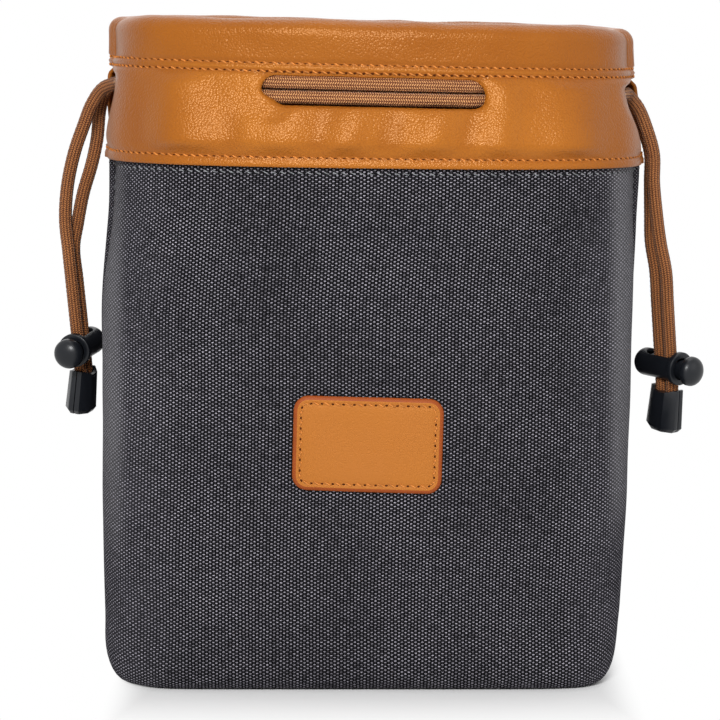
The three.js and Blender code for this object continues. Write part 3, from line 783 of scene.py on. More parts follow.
def make_canvas():
    for facing in HALVES:
        bm = cloth_grid(layer_rings(facing, 0, SEAM_TOP, 168, 110))
        dark = bm.verts.layers.float.new(PAINTED_SHADE)
        for vert in bm.verts:
            # painted shade in the groove along the side seam
            vert[dark] = 0.9 * bump(vert.co.y + SEAM_DEPTH, 0.0022) * smooth(vert.co.z / 0.004)
        piece = new_piece(
            f"{facing}_canvas", bm, "canvas", replaces=f"{facing}_canvas_panel")
        thicken(piece, sizes().canvas_wall)


def make_inside():
    for facing in HALVES:
        rings = layer_rings(facing, LINING_INSET, FACING_HEIGHT - CLEARANCE, 110, 70)
        lining = new_piece(
            f"{facing}_lining_cloth", cloth_grid(rings), "lining",
            replaces=f"{facing}_lining",
        )
        thicken(lining, sizes().lining_wall)
        make_wall_padding(facing)
    make_base_padding()
    make_rim_foam()


def make_wall_padding(facing):
    """The foam wall of one half: from the base foam up behind the collar's lap."""
    rings = layer_rings(facing, PADDING_INSET, SEAM_TOP, 90, 56)
    lowest = BASE_FOAM_TOP + CLEARANCE
    start = next(i for i, ring in enumerate(rings) if ring[len(ring) // 2].z > lowest)
    foam = new_piece(
        f"{facing}_foam_wall", cloth_grid(rings[start:]), "foam",
        replaces=f"{facing}_padding",
    )
    thicken(foam, sizes().padding_wall)
    round_edges(foam, 0.0008)


def make_base_padding():
    """The foam slab of the base: one closed pillow, rounded like the foot and flat on top."""
    layout = []                 # height, section and its share, from the middle below to that on top
    inset = PADDING_INSET
    for share in (0.06, 0.5, 0.9, 1):
        layout.append((*foot_section(0, inset), share))
    for height in stations((inset, BASE_FOAM_TOP - CLEARANCE, 4))[1:]:
        layout.append((*foot_section(foot_share(height, inset), inset), 1))
    for share in (0.985, 0.9, 0.5, 0.06):
        layout.append((BASE_FOAM_TOP, layout[-1][1], share))
    rings = [
        [shaped(section_point(section, angle, height, share)) for angle in full_turn(96)]
        for height, section, share in layout
    ]
    bm = cloth_grid(rings, closed=True)
    fill_ends(bm)
    new_piece("base_foam", bm, "foam", replaces="base_padding")


# The collar: one strip of leather, lapped over the canvas, folded over the rim and
# turned down inside, with its window and its side slits

LAP_STITCH = 0.1553
LOWER_STITCH = 0.1792
UPPER_STITCH = 0.1815
STITCH_ROWS = (LAP_STITCH, LOWER_STITCH, UPPER_STITCH)
WINDOW_LEVEL = 0.1741
WINDOW_HALF_LENGTH = 0.03175
WINDOW_HALF_HEIGHT = 0.0043
WINDOW_LOW = WINDOW_LEVEL - WINDOW_HALF_HEIGHT
WINDOW_HIGH = WINDOW_LEVEL + WINDOW_HALF_HEIGHT
WINDOW_EDGE_ROLL = 0.0006       # how far the window's edge rolls in
WINDOW_SKEW = 0.0030            # how far the lower left corner of the window is drawn in
SLIT_BOTTOM = 0.1560
SLIT_TOP = 0.1788
OUTER_INSET = -0.0013
FACING_INSET = 0.0062
FOLD_RADIUS = (FACING_INSET - OUTER_INSET) / 2
FOLD_MIDDLE = (FACING_INSET + OUTER_INSET) / 2
FOLD_HEIGHT = RIM_HEIGHT - FOLD_RADIUS
FOLD_STEPS = 14
COLLAR_SEAM_SHARE = 0.45        # the collar's seam sinks less than the canvas's
BELLY_DEPTH = 0.0019            # how far the collar puffs out below its cords
SIDE_BELLY_DEPTH = 0.0003       # and the same at its sides
STITCH_SINK = 0.0006            # how far the stitches pull the leather in
SEWN_GAP = 0.00004              # between leather edges sewn together
SLIT_COLUMNS = 20
FLANK_COLUMNS = 60              # between a seam and the window
WINDOW_COLUMNS = 56
BACK_COLUMNS = 140              # between the two slits
SLIT_SHARE = 0.0935             # a slit's width over the length of the back part
SLIT_PULL = {"left": 0.030, "right": 0.062}     # gape of the slits, over the front part's length
SLIT_PULL_REACH = 0.22
FRONT_SLIT_SINK = 0.0007        # how far the slit's front edge curls in
BACK_SLIT_FLARE = 0.0020        # and its back edge out
RIM_PAINTED_SHADE = 0.52                # painted shade over the roll and facing, which tones down the roll's highlight
SIDE_PAINTED_SHADE = 0.6                # and painted shade towards the sides, where the leather turns from the light
# Soft folds of the collar: x at the window, x at the lap, width, depth
COLLAR_FOLDS = (
    (-0.0570, -0.0550, 0.0125, 1.6),
    (-0.0400, -0.0400, 0.0060, -0.4),
    (-0.0225, -0.0275, 0.0085, 0.9),
    (-0.0125, -0.0165, 0.0050, -0.5),
    (-0.0030, -0.0085, 0.0075, 0.8),
    (0.0080, 0.0030, 0.0060, -0.5),
    (0.0220, 0.0130, 0.0090, 1.0),
    (0.0300, 0.0240, 0.0050, -0.4),
    (0.0370, 0.0350, 0.0070, 0.7),
    (0.0570, 0.0570, 0.0135, 1.5),
)
LEVELS = stations(
    (COLLAR_HEIGHT, LAP_STITCH, 4), (LAP_STITCH, SLIT_BOTTOM, 1), (SLIT_BOTTOM, WINDOW_LOW, 14),
    (WINDOW_LOW, WINDOW_HIGH, 9), (WINDOW_HIGH, SLIT_TOP, 1), (SLIT_TOP, LOWER_STITCH, 1),
    (LOWER_STITCH, UPPER_STITCH, 4),
)


def level_number(height):
    """The number of the collar's ring at a height."""
    return min(range(len(LEVELS)), key=lambda i: abs(LEVELS[i] - height))


def roll_points():
    """Height and inset round the rim's roll, from the upper stitches outside to those inside."""
    found = [(height, OUTER_INSET) for height in stations((UPPER_STITCH, FOLD_HEIGHT, 9))[1:]]
    for step in range(1, FOLD_STEPS + 1):
        angle = math.pi * step / FOLD_STEPS
        height = FOLD_HEIGHT + FOLD_RADIUS * math.sin(angle)
        found.append((height, FOLD_MIDDLE - FOLD_RADIUS * math.cos(angle)))
    found += [(height, FACING_INSET) for height in stations((FOLD_HEIGHT, UPPER_STITCH, 7))[1:]]
    return found


ROLL = roll_points()
FACING_ROW = len(LEVELS) + len(ROLL) - 1        # the ring of the upper stitches inside


def collar_folds(point, side):
    """The soft folds of the leather between its rows of stitches."""
    height = point.z
    between = smooth((height - LAP_STITCH) / 0.004) * smooth((LOWER_STITCH - height) / 0.004)
    slope = (WINDOW_LEVEL - height) / (WINDOW_LEVEL - LAP_STITCH)
    seed = 0 if side == "front" else 7.3
    depth = sizes().wrinkle_depth
    waves = noise.noise(Vector((point.x / 0.011 + seed, point.y / 0.016, height / 0.030)))
    relief = 0.25 * waves * depth
    if side == "front":
        for x_top, x_low, width, share in COLLAR_FOLDS:
            relief += depth * 0.5 * share * bump(point.x - lerp(x_top, x_low, slope), width)
    if relief < 0:
        relief *= 1 - 0.8 * bump(height - WINDOW_LEVEL, 0.009)
    return relief * between


def collar_relief(point, side):
    """How far the leather stands out of the plain collar."""
    height = point.z
    belly = smooth((height - LAP_STITCH) / 0.0045) * smooth((LOWER_STITCH - height) / 0.021)
    if side == "front":
        belly *= 1 - bump(height - WINDOW_LEVEL, 0.011) * smooth((0.042 - abs(point.x)) / 0.008)
    depth = lerp(BELLY_DEPTH, SIDE_BELLY_DEPTH, smooth((abs(point.x) - 0.050) / 0.022))
    sunk = STITCH_SINK * sum(bump(height - row, 0.0013) for row in STITCH_ROWS)
    return collar_folds(point, side) + depth * belly - sunk


def rim_relief(point, turn, side):
    """The puff of the rolled rim; turn is its share of the roll, from outside to inside."""
    seed = 2.1 if side == "front" else 9.4
    waves = noise.noise(Vector((point.x / 0.021 + seed, point.y / 0.021, turn * 1.6)))
    fine = noise.noise(Vector((point.x / 0.009 + seed, point.y / 0.009, turn * 3)))
    swell = math.sin(math.pi * turn)
    swell *= 1 - 0.8 * smooth((abs(point.x) - 0.064) / 0.013)
    swell *= smooth(abs(point.y + SEAM_DEPTH) / 0.006)
    return sizes().rim_swell * swell * (0.62 + 0.50 * waves + 0.14 * fine)


@functools.lru_cache(maxsize=None)
def window_share():
    """Half the window's length over that of the front part."""
    count = 400
    section = section_at(WINDOW_LEVEL, OUTER_INSET)
    ring = half_ring(section, WINDOW_LEVEL, "front", stations((0, 1, count)))
    middle = ring[count // 2].x
    return next(i for i, p in enumerate(ring) if p.x - middle > WINDOW_HALF_LENGTH) / count - 0.5


def collar_places(side):
    """Shares across one part of the collar, with columns on the edges of window or slits."""
    low = SLIT_SHARE if side == "back" else 0.5 - window_share()
    sides, middle = (SLIT_COLUMNS, BACK_COLUMNS) if side == "back" else (FLANK_COLUMNS, WINDOW_COLUMNS)
    return stations((0, low, sides), (low, 1 - low, middle), (1 - low, 1, sides))


def slit_opening(height):
    """How far the slits gape at a height: most where the cords leave, none at their ends."""
    return smooth((height - SLIT_BOTTOM) / 0.016) * smooth((SLIT_TOP - height) / 0.003)


def slit_pull(place):
    """How far the cords draw a share of the front part away from its slit."""
    left = SLIT_PULL["left"] * (1 - smooth(place / SLIT_PULL_REACH))
    right = SLIT_PULL["right"] * (1 - smooth((1 - place) / SLIT_PULL_REACH))
    return left - right


def outer_ring(side, height, places):
    """A ring of the collar's outer face, with its folds and the curled edges of the slits."""
    opening = slit_opening(height)
    pull = opening if side == "front" else 0
    drawn = [place + pull * slit_pull(place) for place in places]
    moved = []
    for place, point in zip(places, half_ring(section_at(height, OUTER_INSET), height, side, drawn)):
        relief = collar_relief(point, side) + COLLAR_SEAM_SHARE * seam_relief(point)
        edge = min(place, 1 - place)
        if side == "front":
            relief -= FRONT_SLIT_SINK * opening * bump(edge, 0.030)
        else:
            relief += BACK_SLIT_FLARE * opening * bump(edge - SLIT_SHARE, 0.035)
        moved.append(point + outward(point) * relief)
    return moved


def roll_ring(side, turn, height, inset, places):
    """A ring of the puffed roll over the rim."""
    angle = math.pi * smooth((turn - 0.25) / 0.5)
    moved = []
    for point in half_ring(section_at(height, inset), height, side, places):
        puff = rim_relief(point, turn, side) + seam_relief(point) * (1 - turn)
        lift = Vector((0, 0, 0.7 * puff * math.sin(angle)))
        moved.append(point + outward(point) * puff * math.cos(angle) + lift)
    return moved


def collar_rings(side):
    """Rings of one half of the collar from its lap to the lower edge of its facing."""
    places = collar_places(side)
    rings = [outer_ring(side, height, places) for height in LEVELS]
    for step, (height, inset) in enumerate(ROLL):
        rings.append(roll_ring(side, (step + 1) / len(ROLL), height, inset, places))
    for height in stations((UPPER_STITCH, LOWER_STITCH, 2), (LOWER_STITCH, FACING_HEIGHT, 18))[1:]:
        ring = half_ring(section_at(height, FACING_INSET), height, side, places)
        rings.append([p - outward(p) * 0.3 * collar_relief(p, "back") for p in ring])
    part_at_seam(rings, side, SEWN_GAP)
    return rings


def round_window(rings):
    """Moves the points round the window's ends onto half circles, and rolls its edge in."""
    radius = WINDOW_HALF_HEIGHT
    first, last = FLANK_COLUMNS, FLANK_COLUMNS + WINDOW_COLUMNS
    for ring in rings[level_number(WINDOW_LOW) - 4:level_number(WINDOW_HIGH) + 2]:
        middle = ring[len(ring) // 2].copy()
        half_length = ring[last].x - middle.x
        for point in ring[first - 7:last + 8]:
            along, rise = point.x - middle.x, point.z - WINDOW_LEVEL
            end = abs(along) - (half_length - radius)
            move_along = move_up = 0
            if end <= 0:
                beyond = abs(rise) - radius
            else:
                span = math.hypot(end, rise)
                square = radius * span / max(end, abs(rise), 1e-9)
                beyond = span - square
                pull = (square - radius) * (1 - smooth(beyond / 0.004)) / span
                pull *= 1 - smooth((rise - radius) / 0.0007)
                move_along = -math.copysign(end * pull, along)
                move_up = -rise * pull
            if along < 0:
                drawn = smooth(-rise / radius) * smooth((0.016 - along - half_length) / 0.013)
                move_along += WINDOW_SKEW * drawn * (1 - smooth(beyond / 0.008))
            inward = outward(point) * -WINDOW_EDGE_ROLL * (1 - smooth(beyond / 0.0016))
            point += inward + Vector((move_along, 0, move_up))


def paint_leather_shade(bm, rings, side):
    """Marks how much painted shade darkens the leather: beside stitches, in folds and at the sides."""
    dark = bm.verts.layers.float.new(PAINTED_SHADE)
    row, column = (bm.verts.layers.int[name] for name in ("row", "column"))
    for vert in bm.verts:
        point = rings[vert[row]][vert[column]]
        # painted shade: towards the sides, in the folds' hollows, in the stitch grooves, and over the roll
        # and facing
        deep = SIDE_PAINTED_SHADE * smooth((abs(point.x) - 0.045) / 0.024)
        if vert[row] < len(LEVELS):
            level = LEVELS[vert[row]]
            deep += 0.45 * smooth(-collar_folds(point, side) / (0.4 * sizes().wrinkle_depth))
            deep = max(deep, 0.75 * max(bump(level - stitch, 0.0011) for stitch in STITCH_ROWS))
        else:
            deep = max(deep, RIM_PAINTED_SHADE)
        vert[dark] = min(1, deep)


def cut_opening(bm, first, last, low, high):
    """Deletes the faces of a cloth grid between two columns and the rings at two heights."""
    column, row = (bm.verts.layers.int[name] for name in ("column", "row"))
    rows = level_number(low), level_number(high)
    inside = [
        face for face in bm.faces
        if all(first <= v[column] <= last and rows[0] <= v[row] <= rows[1] for v in face.verts)
    ]
    bmesh.ops.delete(bm, geom=inside, context="FACES")


def make_collar():
    for side in HALVES:
        rings = collar_rings(side)
        if side == "front":
            round_window(rings)
        bm = cloth_grid([[settled(point) for point in ring] for ring in rings])
        paint_leather_shade(bm, rings, side)
        if side == "front":
            cut_opening(bm, FLANK_COLUMNS, FLANK_COLUMNS + WINDOW_COLUMNS, WINDOW_LOW, WINDOW_HIGH)
        else:
            cut_opening(bm, 0, SLIT_COLUMNS, SLIT_BOTTOM, SLIT_TOP)
            last = len(rings[0]) - 1
            cut_opening(bm, last - SLIT_COLUMNS, last, SLIT_BOTTOM, SLIT_TOP)
        collar = new_piece(
            f"{side}_collar_leather", bm, "leather", replaces=f"{side}_collar")
        thicken(collar, sizes().leather_wall)


def foam_ring(height, inset, outer_share):
    """A ring of the rim's foam, drawn in at the side seams as far as it lies outside."""
    ring = [section_point(section_at(height, inset), angle, height) for angle in full_turn(160)]
    return [p + outward(p) * 1.1 * seam_relief(p) * outer_share for p in ring]


def make_rim_foam():
    """The foam strip inside the rim's roll, all the way round: a soft closed ring."""
    radius = FOLD_RADIUS - sizes().leather_wall - CLEARANCE
    rings = []
    for turn in stations((0, 1, 16)):
        inset = FOLD_MIDDLE - radius * math.cos(math.pi * turn)
        rings.append(foam_ring(FOLD_HEIGHT + radius * math.sin(math.pi * turn), inset, 1 - turn))
    lower_side = ((0.1865, 1), (0.1835, 0.85), (0.1830, 0.4))        # height, share of the radius
    mirrored = [(height, -share) for height, share in reversed(lower_side)]
    for height, share in (*lower_side, *mirrored):
        rings.append(foam_ring(height, FOLD_MIDDLE + radius * share, (1 - share) / 2))
    rings.append([point.copy() for point in rings[0]])
    bm = cloth_grid([[settled(point) for point in ring] for ring in rings], closed=True)
    face_outwards(bm)
    new_piece("rim_foam_strip", bm, "foam", replaces="rim_foam")


# The label patch, bare, with a painted edge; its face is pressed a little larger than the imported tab's

LABEL_WIDTH = 0.0430
LABEL_HEIGHT = 0.0277
LABEL_RADIUS = 0.0043
LABEL_WALL = 0.0014
LABEL_LEVEL = 0.0735
LABEL_OFFSET = 0.0006
LABEL_TURN = math.radians(-1.7)
LABEL_SEAM = 0.0022             # stitches from the edge
LABEL_POINTS = 160
# Profile of the patch from the middle out: distance in from the edge, height share
LABEL_PROFILE = (
    (0.0122, 1.03), (0.0090, 1.04), (0.0055, 1.05), (0.0034, 1.02), (0.0027, 0.95), (0.0022, 0.85),
    (0.0018, 0.94), (0.0014, 1.00), (0.0011, 0.97), (0.0008, 0.88), (0.0004, 0.72), (0.0001, 0.52),
    (0.0, 0.34), (0.0001, 0.12), (0.0005, 0.0), (0.0122, 0.0),
)
LABEL_PAINT = range(8, 15)      # rings of the profile that carry the edge paint


def on_front(x, height, lift):
    """A point over the front canvas, lifted off its skin."""
    half_width, half_depth, squareness, shift = section_at(height, 0)
    share = min(0.999, abs((x - shift) / half_width))
    skin = Vector((x, -half_depth * (1 - share ** squareness) ** (1 / squareness), height))
    return shaped(skin) + outward(skin) * lift


def label_ring(inset, lift):
    """A rectangle with round corners, set in from the patch's edge, on the front canvas."""
    half_width, half_height = LABEL_WIDTH / 2 - inset, LABEL_HEIGHT / 2 - inset
    radius = max(0.0008, LABEL_RADIUS - inset)
    outline = []
    for turns, (side, end) in enumerate(((1, 1), (-1, 1), (-1, -1), (1, -1))):
        for step in range(9):
            angle = (turns + step / 8) * math.pi / 2
            outline.append(Vector((
                side * (half_width - radius) + radius * math.cos(angle),
                end * (half_height - radius) + radius * math.sin(angle),
            )))
    outline.append(outline[0].copy())
    turn = Matrix.Rotation(LABEL_TURN, 2)
    middle = section_at(LABEL_LEVEL, 0)[3] + LABEL_OFFSET
    flat = [turn @ point for point in walk(outline, stations((0, 1, LABEL_POINTS)))]
    return [on_front(middle + point.x, LABEL_LEVEL + point.y, lift) for point in flat]


def make_label():
    rings = [label_ring(inset, CLEARANCE + share * LABEL_WALL) for inset, share in LABEL_PROFILE]
    bm = cloth_grid(rings, closed=True)
    fill_ends(bm)
    face_outwards(bm)
    row = bm.verts.layers.int["row"]
    for face in bm.faces:
        face.material_index = int(all(v[row] in LABEL_PAINT for v in face.verts))
    patch = new_piece("leather_label", bm, "patch", replaces="label_patch")
    patch.data.materials.append(finish("edge"))


# Sewing: rows of stitches with the painted shade of a needle hole between each two

STITCH_SLANT = -0.42
STITCH_RISE = 0.00012           # how far a stitch stands on the leather
CANVAS_SINK = 0.00005           # and how far it sinks into the canvas
SEAM_SINK = 0.00008
CANVAS_THREAD = 0.0004
SEAM_THREAD = 0.00042
LABEL_THREAD = 0.0005
CANVAS_ROW = 0.1510
SEAM_ROW_SHARE = 0.027          # from the seam, over the length of the front part
SEAM_ROW_HEIGHTS = stations((0.020, 0.1490, 60))


class Sewing:
    """Rows of one colour of thread: the places of their stitches and of the painted shade of the needle
    holes between.
    """

    def __init__(self):
        self.threads, self.holes = [], []

    def row(self, path, pitch, width, facing=1, rise=STITCH_RISE):
        """Sews along a path over the outside of the pouch, or with facing -1 over its inside."""
        count = max(1, round(path_length(path) / pitch))
        fine = walk(path, stations((0, 1, 2 * count)))
        for i in range(1, len(fine) - 1):
            along = (fine[i + 1] - fine[i - 1]).normalized()
            normal = outward(fine[i]) * facing
            normal = (normal - along * normal.dot(along)).normalized()
            across = normal.cross(along)
            if i % 2:
                leaning = (along + across * STITCH_SLANT).normalized()
                over = normal.cross(leaning)
                middle = fine[i] + normal * rise
                self.threads.append(bead(middle, leaning, over, normal, pitch * 0.76, width, width * 0.9))
            else:
                # a flattened dark bead: painted shade in the needle hole
                hole = bead(fine[i], along, across, normal, width * 1.6, width * 1.3, width * 0.45)
                self.holes.append(hole)

    def make(self, name, colour, slot):
        """The two pieces of the rows: their threads, tan or grey, and the painted shade of their needle
        holes.
        """
        ground = "leather" if colour == "tan" else "canvas"
        new_piece(f"{name}_stitches", beads(self.threads), f"{colour} thread")
        new_piece(f"{name}_needle_holes", beads(self.holes), f"{ground} hole")


def bead(centre, along, across, normal, length, width, height):
    """The place and size of one small ellipsoid: a stitch or a needle hole."""
    place = Matrix((across * width, normal * height, along * length)).transposed().to_4x4()
    place.translation = centre
    return place


def beads(places):
    """One small ellipsoid copied to each place, as one bmesh."""
    pattern = bmesh.new()
    bmesh.ops.create_uvsphere(pattern, u_segments=8, v_segments=5, radius=0.5)
    whole = bmesh.new()
    for place in places:
        mesh = bpy.data.meshes.new("bead")
        pattern.to_mesh(mesh)
        mesh.transform(place)
        if place.determinant() < 0:
            mesh.flip_normals()
        whole.from_mesh(mesh)
        bpy.data.meshes.remove(mesh)
    pattern.free()
    return whole


def sew_collar(side):
    """The rows of one half of the collar, and the two inside that hold its facing."""
    rings, sewing = collar_rings(side), Sewing()
    rows = [(level_number(level), 1) for level in STITCH_ROWS]
    for row, facing in (*rows, (FACING_ROW, -1), (FACING_ROW + 2, -1)):
        path = [settled(point) for point in rings[row]]
        sewing.row(path, sizes().stitch_pitch, sizes().sewing_thread, facing)
    sewing.make(f"{side}_collar", "tan", "collar_leather")


def sew_canvas(side):
    """The grey row that holds the canvas's turned edge, just under the collar."""
    ring = half_ring(section_at(CANVAS_ROW, 0), CANVAS_ROW, side, stations((0, 1, 160)))
    sewing = Sewing()
    sewing.row([shaped(point) for point in ring], sizes().stitch_pitch, CANVAS_THREAD, rise=-CANVAS_SINK)
    sewing.make(f"{side}_canvas", "grey", "canvas")


def sew_label():
    sewing = Sewing()
    sewing.row(label_ring(LABEL_SEAM, CLEARANCE + 0.9 * LABEL_WALL), sizes().label_pitch, LABEL_THREAD)
    sewing.make("label", "tan", "patch_leather")


def sew_seams():
    """Topstitching beside the two side seams of the front panel."""
    sewing = Sewing()
    for share in (SEAM_ROW_SHARE, 1 - SEAM_ROW_SHARE):
        path = [
            shaped(half_ring(section_at(height, 0), height, "front", [share])[0])
            for height in SEAM_ROW_HEIGHTS
        ]
        sewing.row(path, sizes().label_pitch, SEAM_THREAD, rise=-SEAM_SINK)
    sewing.make("side_seam", "grey", "canvas")


def make_stitching():
    for side in HALVES:
        sew_collar(side)
        sew_canvas(side)
    sew_label()
    sew_seams()


# Cords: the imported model's routes, in metres

CHANNEL_MIDDLE = 0.00245        # how deep the cords' channel lies in the collar
STRAND_SPACING = 0.0042
CORD_LEVELS = {"left": WINDOW_LEVEL + STRAND_SPACING / 2, "right": WINDOW_LEVEL - STRAND_SPACING / 2}
SLIT_HALF_WIDTH = 0.012
LEAD_IN = 0.003
WINDOW_BULGE = 0.0011           # how far the cords stand forward in the window
SLIT_LIFT = {"left": -0.0022, "right": 0.0022}        # how far a cord climbs to its slit
CORD_SIDES = 24
LOCK_TRAVEL = 0.020
FLANGE_RADIUS = 0.0051
BARREL_RADIUS = 0.0043
END_GAP = 0.0007
END_SCOOP = 0.0011
END_POCKET = 0.0082
# For each lock: its middle, the run of the cords down through it, the way its head
# points, and the run of the cords into their end
LOCKS = {
    "left": ((-0.0886, -0.0015, 0.0956), (0.08, 0.09, -1), (-0.28, -0.96, 0), (-0.1, 0.12, -1)),
    "right": ((0.0898, 0.0015, 0.0892), (0.09, 0.17, -1), (0.64, -0.77, 0), (-0.06, 0.14, -1)),
}
TAIL_ROUTES = {
    "left_front": (
        (-0.0765, -0.0084, 0.1759), (-0.0807, -0.0055, 0.1739), (-0.0841, -0.0043, 0.1688),
        (-0.0868, -0.0039, 0.1618), (-0.0896, -0.0039, 0.1538), (-0.0918, -0.0042, 0.1442),
        (-0.0925, -0.0050, 0.1345),
    ),
    "left_back": (
        (-0.0765, 0.0084, 0.1759), (-0.0804, 0.0057, 0.1736), (-0.0825, 0.0048, 0.1676),
        (-0.0836, 0.0039, 0.1576), (-0.0851, 0.0026, 0.1502), (-0.0877, 0.0010, 0.1414),
        (-0.0894, -0.0008, 0.1326),
    ),
    "right_front": (
        (0.0762, -0.0092, 0.1712), (0.0794, -0.0067, 0.1676), (0.0823, -0.0055, 0.1612),
        (0.0843, -0.0050, 0.1545), (0.0845, -0.0047, 0.1460), (0.0854, -0.0049, 0.1370),
        (0.0867, -0.0052, 0.1275),
    ),
    "right_back": (
        (0.0762, 0.0092, 0.1712), (0.0793, 0.0066, 0.1676), (0.0821, 0.0047, 0.1612),
        (0.0842, 0.0032, 0.1545), (0.0842, 0.0017, 0.1460), (0.0842, 0.0, 0.1370),
        (0.0844, -0.0012, 0.1275),
    ),
}


def through(points, steps):
    """A smooth curve through points, as evenly spaced points of its own: a centripetal spline."""
    held = [2 * points[0] - points[1], *points, 2 * points[-1] - points[-2]]
    fine = []
    for a, b, c, d in zip(held, held[1:], held[2:], held[3:]):
        gap0, gap1, gap2 = (math.sqrt((q - p).length) for p, q in ((a, b), (b, c), (c, d)))
        start = ((b - a) / gap0 - (c - a) / (gap0 + gap1) + (c - b) / gap1) * gap1
        end = ((c - b) / gap1 - (d - b) / (gap1 + gap2) + (d - c) / gap2) * gap1
        square, cube = 3 * (c - b) - 2 * start - end, 2 * (b - c) + start + end
        for t in stations((0, 1, 12))[:-1]:
            fine.append(b + start * t + square * t ** 2 + cube * t ** 3)
    fine.append(points[-1].copy())
    return walk(fine, stations((0, 1, steps)))


def hanging_frame(centre, run, facing):
    """The frame of a lock or cord end: centre, along the row of strands, across it, up the cords."""
    up = -Vector(run).normalized()
    along = Vector(facing)
    along = (along - up * along.dot(up)).normalized()
    return Vector(centre), along, up.cross(along), up


def lock_frame(side):
    centre, run, facing, _ = LOCKS[side]
    return hanging_frame(centre, run, facing)


def end_frame(side):
    centre, run, facing, end_run = LOCKS[side]
    top = Vector(centre) + Vector(run).normalized() * (FLANGE_RADIUS + END_GAP + END_SCOOP)
    return hanging_frame(top, end_run, facing)


def channel_loop(side):
    """The run of one cord through the collar's channel, from slit round to slit."""
    level = CORD_LEVELS[side]
    section = section_at(level, CHANNEL_MIDDLE)
    leave = math.asin((SLIT_HALF_WIDTH + LEAD_IN) / section[1])
    start = (math.pi if side == "left" else 0) + leave
    angles = stations((start, start + 2 * (math.pi - leave), 600))
    fine = [section_point(section, angle, level) for angle in angles]
    for point in fine:
        if point.y < 0:
            point.y -= WINDOW_BULGE * smooth((WINDOW_HALF_LENGTH - abs(point.x)) / 0.005)
        point.z += SLIT_LIFT[side] * smooth((abs(point.x) - 0.060) / 0.013)
    return walk(fine, stations((0, 1, 560)))


def tail_path(side, strand):
    """A free tail: out of the slit, down beside the pouch, through the lock, into the cord end."""
    loop = channel_loop(side)
    at_start = (side == "left") == (strand == "front")
    mouth, inner = (loop[0], loop[1]) if at_start else (loop[-1], loop[-2])
    leaving = (mouth - inner).normalized()
    row = (1 if strand == "front" else -1) * STRAND_SPACING / 2
    lock, lock_along, _, lock_up = lock_frame(side)
    end, end_along, _, end_up = end_frame(side)
    points = [mouth + leaving * CLEARANCE, mouth + leaving * LEAD_IN]
    for step, point in enumerate(TAIL_ROUTES[f"{side}_{strand}"]):
        lift = SLIT_LIFT[side] * (1 - smooth(step / 5))
        points.append(Vector(point) + Vector((0, 0, lift)))
    for rise in (LOCK_TRAVEL + 2 * FLANGE_RADIUS, LOCK_TRAVEL, 0, -BARREL_RADIUS):
        points.append(lock + lock_along * row + lock_up * rise)
    for depth in (END_SCOOP, END_POCKET - CLEARANCE):
        points.append(end + end_along * row - end_up * depth)
    return [settled(point) for point in through(points, 230)]


def braid_relief(angle, run):
    """The raised yarns of the braid, in step with its colours."""
    rows = angle / (2 * math.pi) * BRAID_ROWS
    slant = abs((rows % 2) - 1)
    return 0.00006 * math.sin(2 * math.pi * (run / BRAID_PITCH + BRAID_SLANT * slant))


def make_cords():
    width = sizes().cord_width
    for side in SIDES:
        loop = tube([settled(p) for p in channel_loop(side)], width / 2, CORD_SIDES)
        new_piece(f"{side}_channel_cord", loop, "cord", replaces=f"{side}_cord_loop")
        for strand in HALVES:
            path = tail_path(side, strand)
            tail = new_piece(
                f"{side}_{strand}_cord", tube(path, width / 2, CORD_SIDES, braid_relief),
                "hanging cord", replaces=f"{side}_{strand}_cord_tail",
            )
            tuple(path[0])
            path_length(path)


# Cord locks: barrel, plunger and spring on one axis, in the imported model's places

SLOT_WIDTH = 0.0045
SLOT_LENGTH = 0.0113
TOOL_REACH = 0.016              # length of the tools that cut slots and bores
BARREL_TIP = -0.01145
BARREL_FLOOR = -0.01025
BARREL_SLOT = -0.00695          # where the barrel's slot starts along the axis
BARREL_MOUTH = 0.00645
BORE_RADIUS = 0.0033
DOME_LENGTH = 0.0034
FLANGE_WIDTH = 0.0017
CHAMFER = 0.0004
PLUNGER_START = -0.00555
PLUNGER_SLOT = -0.00435
PLUNGER_RADIUS = 0.003
HEAD_START = 0.00935
HEAD_RADIUS = 0.0045
HEAD_LENGTH = 0.004
HEAD_EDGE = 0.0011
LOCK_SIDES = 64
MOULDED_EDGE = 0.00022          # radius of the moulded parts' edges
MERGE = 1e-7


def quarter(tip, length, radius):
    """A quarter of an ellipse from the axis out to a radius, as (along, radius)."""
    angles = stations((0, math.pi / 2, 9))
    return [(tip + length * (1 - math.cos(a)), radius * math.sin(a)) for a in angles]


def turned(profile):
    """A profile of (along, radius) spun about its own X axis."""
    bm = bmesh.new()
    verts = [bm.verts.new((along, radius, 0)) for along, radius in profile]
    edges = [bm.edges.new(pair) for pair in zip(verts, verts[1:])]
    bmesh.ops.spin(
        bm, geom=verts + edges, cent=(0, 0, 0), axis=(1, 0, 0), angle=2 * math.pi,
        steps=LOCK_SIDES, use_merge=True,
    )
    bmesh.ops.remove_doubles(bm, verts=bm.verts, dist=MERGE)
    face_outwards(bm)
    return bm


def extruded(bm, face, vector):
    """The new corners of a face of a bmesh drawn out along a vector."""
    region = bmesh.ops.extrude_face_region(bm, geom=[face])["geom"]
    corners = [part for part in region if isinstance(part, bmesh.types.BMVert)]
    bmesh.ops.translate(bm, verts=corners, vec=vector)
    return corners


